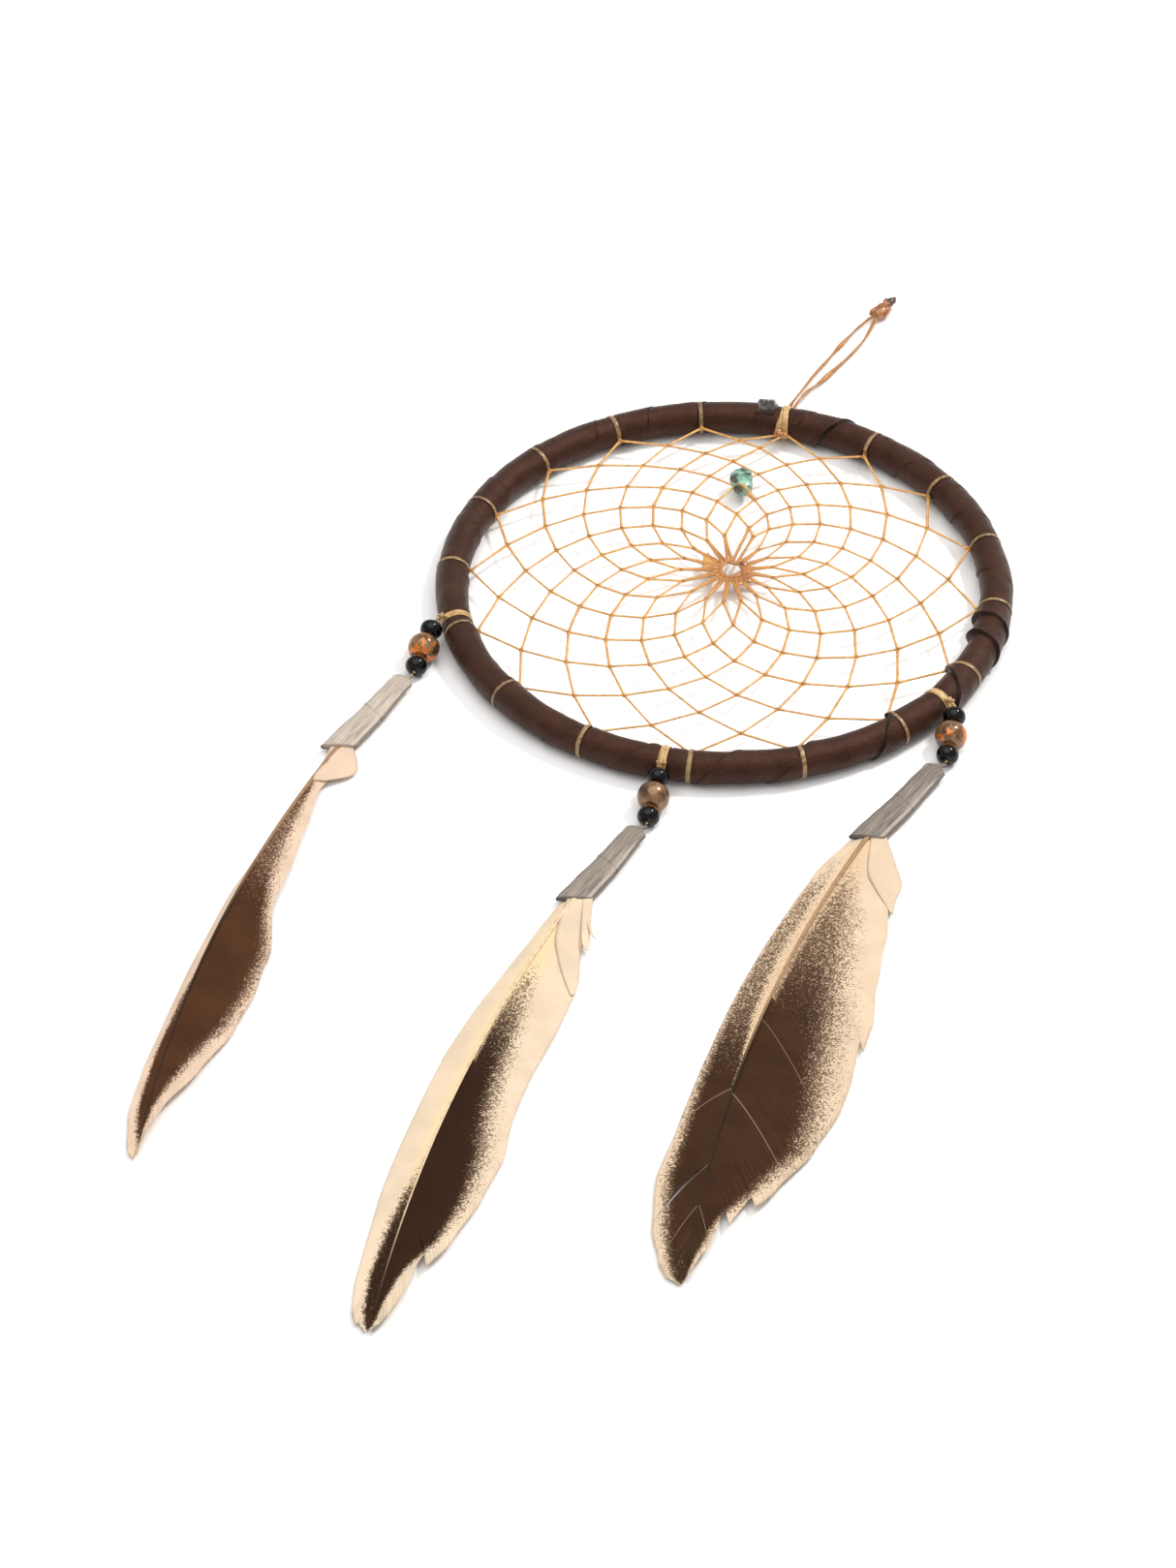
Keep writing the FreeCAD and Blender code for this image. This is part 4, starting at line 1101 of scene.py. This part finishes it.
# Markings of each vane, for its narrow side (-1) and wide side (1). Each row: share of the shaft, pale
# strip beside the shaft, width of the solid brown, width of the speckles, and depth of the brown. The
# three widths are shares of the vane's own width.
MARKINGS = {
    ("left", 1): (
        (0.0, 0, 0, 0.01, 0), (0.07, 0, 0, 0.05, 0), (0.10, 0, 0.30, 0.70, 0.85), (0.18, 0, 0.32, 0.80, 0.75),
        (0.30, 0, 0.42, 0.92, 0.80), (0.40, 0, 0.70, 1.05, 1.0), (0.52, 0, 0.75, 1.15, 1.1),
        (0.68, 0, 0.65, 1.05, 1.1), (0.78, 0, 0.45, 0.85, 1.05), (0.86, 0, 0.30, 0.60, 1.0),
        (0.93, 0, 0.10, 0.35, 0.90), (1.0, 0, 0, 0.05, 0),
    ),
    ("left", -1): (
        (0.0, 0, 0.20, 0.50, 0.30), (0.05, 0, 0, 0.05, 0), (0.50, 0, 0, 0.05, 0), (0.56, 0, 0.05, 0.40, 0.45),
        (0.64, 0, 0.25, 0.60, 0.80), (0.75, 0, 0.45, 0.75, 1.05), (0.88, 0, 0.45, 0.70, 1.05),
        (0.94, 0, 0.30, 0.60, 0.90), (1.0, 0, 0, 0.30, 0.20),
    ),
    ("middle", 1): (
        (0.0, 0, 0, 0.01, 0), (0.14, 0.10, 0.20, 0.30, 0), (0.20, 0.08, 0.25, 0.42, 0.45),
        (0.28, 0.04, 0.30, 0.55, 0.70), (0.36, 0.02, 0.35, 0.72, 0.90), (0.45, 0, 0.36, 0.82, 1.05),
        (0.55, 0, 0.42, 0.95, 1.1), (0.66, 0, 0.62, 0.95, 1.1), (0.75, 0, 0.70, 0.90, 1.1),
        (0.80, 0, 0.72, 0.82, 1.1), (0.88, 0, 0.45, 0.55, 1.05), (0.94, 0, 0.30, 0.42, 1.0),
        (1.0, 0, 0.20, 0.50, 0.90),
    ),
    ("middle", -1): (
        (0.0, 0, 0, 0.01, 0), (0.60, 0, 0, 0.10, 0), (0.66, 0, 0.05, 0.25, 0.60), (0.72, 0, 0.15, 0.45, 0.85),
        (0.80, 0, 0.30, 0.60, 1.0), (0.88, 0, 0.45, 0.65, 1.0), (0.95, 0, 0.40, 0.60, 1.0),
        (1.0, 0, 0.20, 0.50, 0.90),
    ),
    ("right", 1): (
        (0.0, 0, 0, 0.01, 0), (0.06, 0.10, 0.20, 0.45, 0.25), (0.12, 0.10, 0.30, 0.60, 0.55),
        (0.20, 0.08, 0.35, 0.85, 0.68), (0.30, 0.05, 0.42, 0.90, 0.80), (0.42, 0, 0.45, 0.95, 0.98),
        (0.55, 0, 0.50, 1.02, 1.1), (0.70, 0, 0.72, 1.10, 1.1), (0.80, 0, 0.60, 0.95, 1.1),
        (0.88, 0, 0.45, 0.70, 1.05), (0.95, 0, 0.40, 0.75, 1.0), (1.0, 0, 0.30, 0.60, 0.80),
    ),
    ("right", -1): (
        (0.0, 0, 0, 0.01, 0), (0.06, 0.30, 0.50, 0.90, 0.20), (0.14, 0.35, 0.90, 1.10, 0.55),
        (0.30, 0.40, 0.90, 1.15, 0.65), (0.42, 0.30, 0.90, 1.15, 0.72), (0.52, 0.10, 0.80, 1.15, 0.90),
        (0.60, 0, 0.70, 1.15, 1.05), (0.80, 0, 0.60, 1.0, 1.05), (0.92, 0, 0.50, 0.95, 1.0),
        (1.0, 0, 0.50, 0.90, 0.90),
    ),
}


def row_at(rows, share):
    """The values of a table at a share of the shaft, between the two rows on each side of it."""
    for before, after in zip(rows, rows[1:]):
        if share <= after[0]:
            part = (share - before[0]) / (after[0] - before[0])
            return [mix(first, second, part) for first, second in zip(before, after)]
    return list(rows[-1])


def brown_at(name, side, share, reach):
    """How brown a vane is at a share of the shaft and a reach of 0 to 1 out from it."""
    _, strip, solid, end, depth = row_at(MARKINGS[name, side], share)
    inside = smooth(strip * 0.4, strip * 1.3, reach) if strip > 0.01 else 1.0
    outside = smooth(solid - 0.12, max(end, solid + 0.05) + 0.12, reach)
    return depth * (0.3 + 0.7 * inside) * (1 - outside)


# Slits between barbs: side, share of the shaft, how far they open, how much shorter the barbs after
# them are, and whether the slit closes again at the vane's edge, with a painted highlight along it.
SLITS = {
    "left": ((1, 0.355, 0.12, 0.02, False), (1, 0.25, 0.20, 0.05, False)),
    "middle": ((1, 0.735, 0.15, 0.15, False), (-1, 0.90, 0.1, 0.04, False)),
    "right": (
        (1, 0.235, 0.10, 0.06, False), (1, 0.445, 0.0, 0.0, True), (1, 0.61, 0.0, 0.0, True),
        (1, 0.70, 0.1, 0.10, False), (1, 0.77, 0.1, 0.22, False), (-1, 0.60, 0.0, 0.0, True),
        (-1, 0.76, 0.85, 0.0, True), (-1, 0.84, 0.0, 0.0, True), (1, 0.84, 0.0, 0.0, True),
    ),
}
BARB_SPACING = {"left": 0.85, "middle": 0.66, "right": 0.70}
BARB_ANGLE = {"left": 30.0, "middle": 32.0, "right": 36.0}
CURL = {"left": 2.2, "middle": 1.6, "right": 1.9}
BARB_STEPS = 16
LAST_BARB = 0.985
# How far along the shaft the barbs beside a slit are pushed aside.
SLIT_REACH = 0.022


def vane_height(name, shaft, share, reach, side):
    """The vane arches down from the shaft, then lifts in waves, and its edge curls up towards the tip."""
    centre = shaft.point(share).z
    low = 0.42 + (centre - 0.42) * (1 - reach ** 1.5)
    wave = 0.5 * reach * (1 + wobble((share * 155, side * 40, 0), 20.0, 4.0 + CURL[name]))
    curl = 0.0
    if side > 0:
        curl = CURL[name] * smooth(0.68, 0.88, share) * reach ** 1.5
        if name == "left":
            curl += 1.8 * smooth(0.06, 0.14, share) * (1 - smooth(0.34, 0.50, share)) * reach ** 1.5
            curl += 0.9 * math.exp(-((share - 0.03) / 0.03) ** 2) * math.sin(math.pi * reach)
    return low + wave + curl


def barb_points(name, shaft, root, side, slits, trim):
    """A barb leaves the shaft at a wide angle and bends forwards until it meets the vane's edge."""
    angle = mix(BARB_ANGLE[name] + 22, BARB_ANGLE[name], smooth(0.0, 0.12, root))
    angle = math.radians(mix(angle, 15.0, smooth(0.60, 0.92, root)))
    end = root
    while end < 0.999 and (end - root) * shaft.length * math.tan(angle) < shaft.width(end, side):
        end += 0.002
    full = shaft.width(end, side)
    cut = 1 - max(1 - trim, 0.0) ** (1 / 1.18)
    points, browns = [], []
    for i in range(BARB_STEPS + 1):
        part = i / BARB_STEPS * cut
        share = root + (end - root) * part ** 1.12
        width = min(full * (1 - (1 - part) ** 1.18), shaft.width(share, side))
        opened = 0.0
        for gap, amount, closed in slits:
            bulge = math.sin(math.pi * part) if closed else part ** 5
            opened += math.copysign(amount, gap) * bulge * math.exp(-abs(gap) / SLIT_REACH)
        reach = width / max(shaft.width(share, side), 0.2)
        here = shaft.point(share) + shaft.across(share) * (side * width) + shaft.along(share) * opened
        points.append(Vector((here.x, here.y, vane_height(name, shaft, share, min(reach, 1.0), side))))
        browns.append(brown_at(name, side, share, reach))
    return points, browns


def thicken(sheet):
    thickness = sheet.modifiers.new("thickness", "SOLIDIFY")
    thickness.thickness = VANE_THICKNESS * MM
    thickness.offset = 0.0


def make_vane(name, shaft, material):
    """Two sheets of barbs, one on each side of the shaft, parted only where a slit has opened."""
    pile = Pile()
    uneven = random.Random(name)
    count = int(shaft.length / BARB_SPACING[name]) * 2
    for side in (1, -1):
        slits = sorted(slit[1:] for slit in SLITS[name] if slit[0] == side)
        bounds = [-0.001] + [slit[0] for slit in slits if slit[1] > 0] + [1.1]
        for low, high in zip(bounds, bounds[1:]):
            rows, browns, barb_lines_and_highlights, warms = [], [], [], []
            roots = [LAST_BARB * index / count for index in range(count + 1)]
            roots = [root for root in roots if low < root < high]
            if low > 0:
                roots.insert(0, low + 0.00001)
            if high < 1:
                roots.append(high - 0.00001)
            for root in roots:
                ridge = round(root * count / LAST_BARB) % 2
                near_slits = [(root - place, amount, closed) for place, amount, _, closed in slits]
                trim = 1 - uneven.uniform(0.0, 0.006)
                for place, _, shorter, _ in slits:
                    if root > place:
                        trim -= shorter * (1 - smooth(0.0, 0.09, root - place))
                points, brown = barb_points(name, shaft, root, side, near_slits, trim)
                depth = 0.045 if ridge else -0.045
                fade = [1 - 0.6 * step / BARB_STEPS for step in range(BARB_STEPS + 1)]
                points = [point + UP * (depth * share) for point, share in zip(points, fade)]
                # The barb beside a closed slit gets rim 2, which paints a highlight line along it.
                pale = any(0 <= root - place < 0.0021 for place, _, _, closed in slits if closed)
                rows.append(points)
                browns.append(brown)
                barb_lines_and_highlights.append(2.0 if pale else 1.0 - ridge)
                warms.append([math.exp(-(part / 4.0) ** 2) for part in range(len(points))])
            if len(rows) > 1:
                pile.grid(rows, numbers={"dark": browns, "rim": barb_lines_and_highlights, "warm": warms})
    thicken(pile.piece(f"{name}_barbs", f"{name}_feather", material, [f"{name}_vane"]))


def smooth_line(corners, steps):
    """A Catmull-Rom line through the corners."""
    corners = [Vector(corner) for corner in corners]
    padded = [corners[0] * 2 - corners[1]] + corners + [corners[-1] * 2 - corners[-2]]
    line = []
    for i in range(steps + 1):
        place = i / steps * (len(corners) - 1)
        first = min(int(place), len(corners) - 2)
        t = place - first
        a, b, c, d = padded[first:first + 4]
        start = b * 2 + (c - a) * t
        bend = (a * 2 - b * 5 + c * 4 - d) * t ** 2
        line.append((start + bend + (b * 3 - a - c * 3 + d) * t ** 3) * 0.5)
    return line


# Loose sheets of down beside the cuff: the two edges of each, from the cuff outwards.
LOBES = {
    "left": (
        (((-83.4, -81.0, 2.0), (-83.2, -91.0, 2.4), (-83.8, -95.6, 2.8), (-84.4, -98.4, 2.4)),
         ((-79.4, -80.5, 2.0), (-75.2, -87.6, 1.2), (-75.1, -92.3, 0.9), (-81.2, -97.6, 2.2))),
    ),
    "middle": (
        (((-10.4, -122.0, 2.0), (-9.7, -137.6, 2.6), (-7.3, -145.4, 2.1), (-4.2, -151.7, 1.8),
          (-1.0, -157.1, 1.3)),
         ((-5.0, -121.5, 2.0), (-2.5, -134.5, 2.0), (-2.2, -142.9, 1.5), (-0.5, -150.8, 1.2),
          (-0.3, -156.7, 1.2))),
        (((-6.8, -122.5, 2.1), (-3.1, -138.3, 3.2), (-1.1, -142.4, 3.0)),
         ((-4.4, -121.8, 2.1), (-1.2, -137.8, 2.6), (-0.6, -142.2, 2.9))),
        (((-3.6, -131.6, 2.6), (-1.0, -136.9, 3.4), (0.7, -138.7, 3.6)),
         ((-2.8, -131.3, 2.6), (-0.7, -136.5, 3.4), (0.7, -138.3, 3.6))),
    ),
    "right": (
        (((57.6, -81.0, 2.0), (59.8, -95.5, 2.3), (62.5, -101.0, 2.1), (66.1, -105.6, 1.6),
          (68.4, -108.6, 1.2)),
         ((60.6, -80.0, 2.0), (66.2, -91.4, 1.4), (69.1, -98.0, 1.0), (68.7, -103.1, 0.9),
          (69.1, -108.8, 0.9))),
    ),
}
LOBE_STEPS = 30


def make_lobes(name, material):
    """Soft, pale barbs at the foot of the vane that have come away in sheets."""
    pile = Pile()
    for first, second in LOBES[name]:
        edges = [smooth_line(corners, LOBE_STEPS) for corners in (first, second)]
        rows = []
        for i, (one, two) in enumerate(zip(*edges)):
            lift = 0.06 * math.sin(math.pi * i / LOBE_STEPS)
            row = []
            for j in range(9):
                row.append(one.lerp(two, j / 8) + UP * (lift + 0.12 * math.sin(math.pi * j / 8)))
            rows.append(row)
        pale = [0.0] * len(rows)
        pile.grid(rows, numbers={"dark": pale, "rim": pale, "warm": pale})
    thicken(pile.piece(f"{name}_down", f"{name}_feather", material))


def make_quill(name, shaft, neck, material, darken):
    """The shaft: thick and pale at the cuff, a fine dark line at the tip."""
    pile = Pile()
    axis = Vector((shaft.start.x, shaft.start.y, 1.9)) - neck
    points = [neck + axis * 0.6, neck + axis * 0.85]
    shares = [0.0, 0.0]
    for i in range(61):
        share = 0.01 + 0.95 * i / 60
        points.append(shaft.point(share) + UP * 0.12)
        shares.append(share)
    size = lambda part: mix(0.74, 0.13, part ** 0.6)
    rows = strip_rows(points, size, lambda part: size(part) * 0.8, UP, 10)
    marks = [smooth(darken - 0.14, darken + 0.14, share) for share in shares]
    pile.tube(rows, {"dark": marks})
    pile.piece(f"{name}_shaft", f"{name}_feather", material, [f"{name}_quill"])


def make_cuff(name, neck, cuff_end, material, twist):
    """A flat folded sleeve of thin leather: creased edges, a seam across it, a pinched strap at its neck."""
    pile = Pile()
    end = Vector((*cuff_end, 1.9))
    axis = (end - neck).normalized()
    reach = (end - neck).length
    side = UP.cross(axis).normalized()
    top = axis.cross(side)
    sides, steps = 56, 110
    rows, alongs, acrosses, seam_and_shade_rows, trims = [], [], [], [], []
    for i in range(steps + 1):
        share = i / steps
        wide = mix(0.50, 3.1, smooth(0.03, 0.10, share))
        wide = mix(wide, 3.8, smooth(0.10, 0.95, share))
        thick = mix(0.40, 1.45, smooth(0.02, 0.25, share)) - 0.45 * smooth(0.80, 1.0, share)
        aside = -0.9 * smooth(0.01, 0.08, share) * (1 - smooth(0.1, 0.6, share))
        row, across_line, seam_and_shade_line, trim_line = [], [], [], []
        for k in range(sides):
            turn = TURN * k / sides
            cosine, sine = math.cos(turn), math.sin(turn)
            flat = math.copysign(abs(cosine) ** 0.82, cosine)
            deep = math.copysign(abs(sine) ** 0.62, sine)
            skew = -2.4 * flat * smooth(0.55, 1.0, share) + 0.3 * flat * (1 - smooth(0.05, 0.3, share))
            point = neck + axis * (reach * share + skew) + side * (wide * flat + aside) + top * (thick * deep)
            ripple = 0.16 * wobble((share * reach * 0.5, k * 0.35, 0), 1.6, twist) * smooth(0.0, 0.1, share)
            crumple = 0.30 * wobble((share * reach, flat * 3, deep), 2.2, twist + 3)
            crumple *= 1 - smooth(0.08, 0.3, share)
            seam = 0.09 * math.exp(-((share - 0.52 - 0.02 * flat) / 0.02) ** 2)
            point += (side * flat + top * deep) * (ripple + crumple + seam)
            if point.z < 0.12:
                point.z = 0.12
            row.append(point)
            across_line.append(flat * wide * 1.6 + (4 if sine < 0 else 0))
            # Painted shade along the fold edges, in the crumpled neck and at the open mouth; the band is the
            # seam's own dark line.
            edge = smooth(0.88, 0.99, abs(flat)) * 0.7
            uneven = 0.5 + 0.5 * wobble((share * 60, flat * 3, 0), 0.8, twist)
            band = 0.75 * uneven * math.exp(-((share - 0.535 - 0.03 * flat) / 0.007) ** 2)
            mouth = 0.25 * smooth(0.985, 1.0, share) + 0.6 * uneven * (1 - smooth(0.05, 0.11, share))
            seam_and_shade_line.append(min(edge + band + mouth, 1.0))
            stripe = smooth(0.72, 0.80, flat) * (1 - smooth(0.93, 0.98, flat))
            trim_line.append(stripe * smooth(0.15, 0.3, share))
        rows.append(row)
        alongs.append(share * reach * 0.09)
        acrosses.append(across_line)
        seam_and_shade_rows.append(seam_and_shade_line)
        trims.append(trim_line)
    pile.tube(rows, {"along": alongs, "across": acrosses, "seam_and_shade": seam_and_shade_rows, "trim": trims})
    pile.piece(f"{name}_sleeve", f"{name}_feather", material, [f"{name}_cuff"])


def make_pendants():
    black = black_bead_paint()
    creams = {"left": (0.68, 0.51, 0.38), "middle": (0.70, 0.56, 0.41), "right": (0.68, 0.53, 0.38)}
    warms = {"left": (0.60, 0.42, 0.30), "middle": (0.74, 0.56, 0.31), "right": (0.62, 0.43, 0.26)}
    browns = {
        "left": (0.036, 0.014, 0.0055), "middle": (0.016, 0.006, 0.0024), "right": (0.025, 0.0105, 0.0045),
    }
    pales = {"left": (0.30, 0.18, 0.10), "middle": (0.70, 0.54, 0.35), "right": (0.36, 0.22, 0.12)}
    cuffs = {
        "left": ((0.52, 0.44, 0.365), (0.24, 0.195, 0.16)),
        "middle": ((0.30, 0.25, 0.205), (0.095, 0.077, 0.063)),
        "right": ((0.255, 0.21, 0.175), (0.062, 0.052, 0.044)),
    }
    orange = {"left": 0.10, "middle": -0.06, "right": 0.11}
    darken = {"left": 0.34, "middle": 0.80, "right": 0.46}
    for number, (name, pendant) in enumerate(PENDANTS.items()):
        axis = direction(pendant["cord_direction"], SLOPE)
        outwards = direction(BAND_ANGLES[name])
        pin = band_pin(BAND_ANGLES[name])
        corner = outwards * (HOOP_RADIUS + pendant["cord_reach"]) + UP * 6.2
        half_black = BLACK_BEAD[1] / 2
        spacing = half_black + GLASS_BEAD[1] / 2 + BEAD_GAP
        upper = corner + axis * (half_black + 0.4)
        last = upper + axis * (2 * spacing)
        make_pendant_cord(name, pin, corner, last + axis * (half_black - 0.1))
        make_bead(name, "upper", upper, axis, BLACK_BEAD, black)
        glass = glass_bead_paint(f"bead_glass_{name}", orange[name])
        make_bead(name, "glass", upper + axis * spacing, axis, GLASS_BEAD, glass)
        make_bead(name, "lower", last, axis, BLACK_BEAD, black)
        neck = last + axis * (half_black + 0.7)
        make_cuff(name, neck, pendant["cuff_end"], cuff_paint(f"cuff_{name}", *cuffs[name]), 2.0 + number * 5)
        shaft = Shaft(pendant)
        vane = vane_paint(f"vane_{name}", creams[name], warms[name], browns[name])
        make_vane(name, shaft, vane)
        make_lobes(name, vane)
        horn = shaft_paint(f"shaft_{name}", pales[name], (0.022, 0.013, 0.009))
        make_quill(name, shaft, neck, horn, darken[name])


make_camera()
make_stage()
make_leather()
make_strip_end()
make_hitches()
make_bands()
web = make_web()
make_tie_off()
make_wax_film()
make_chip(web)
make_binding()
make_loop()
make_pendants()
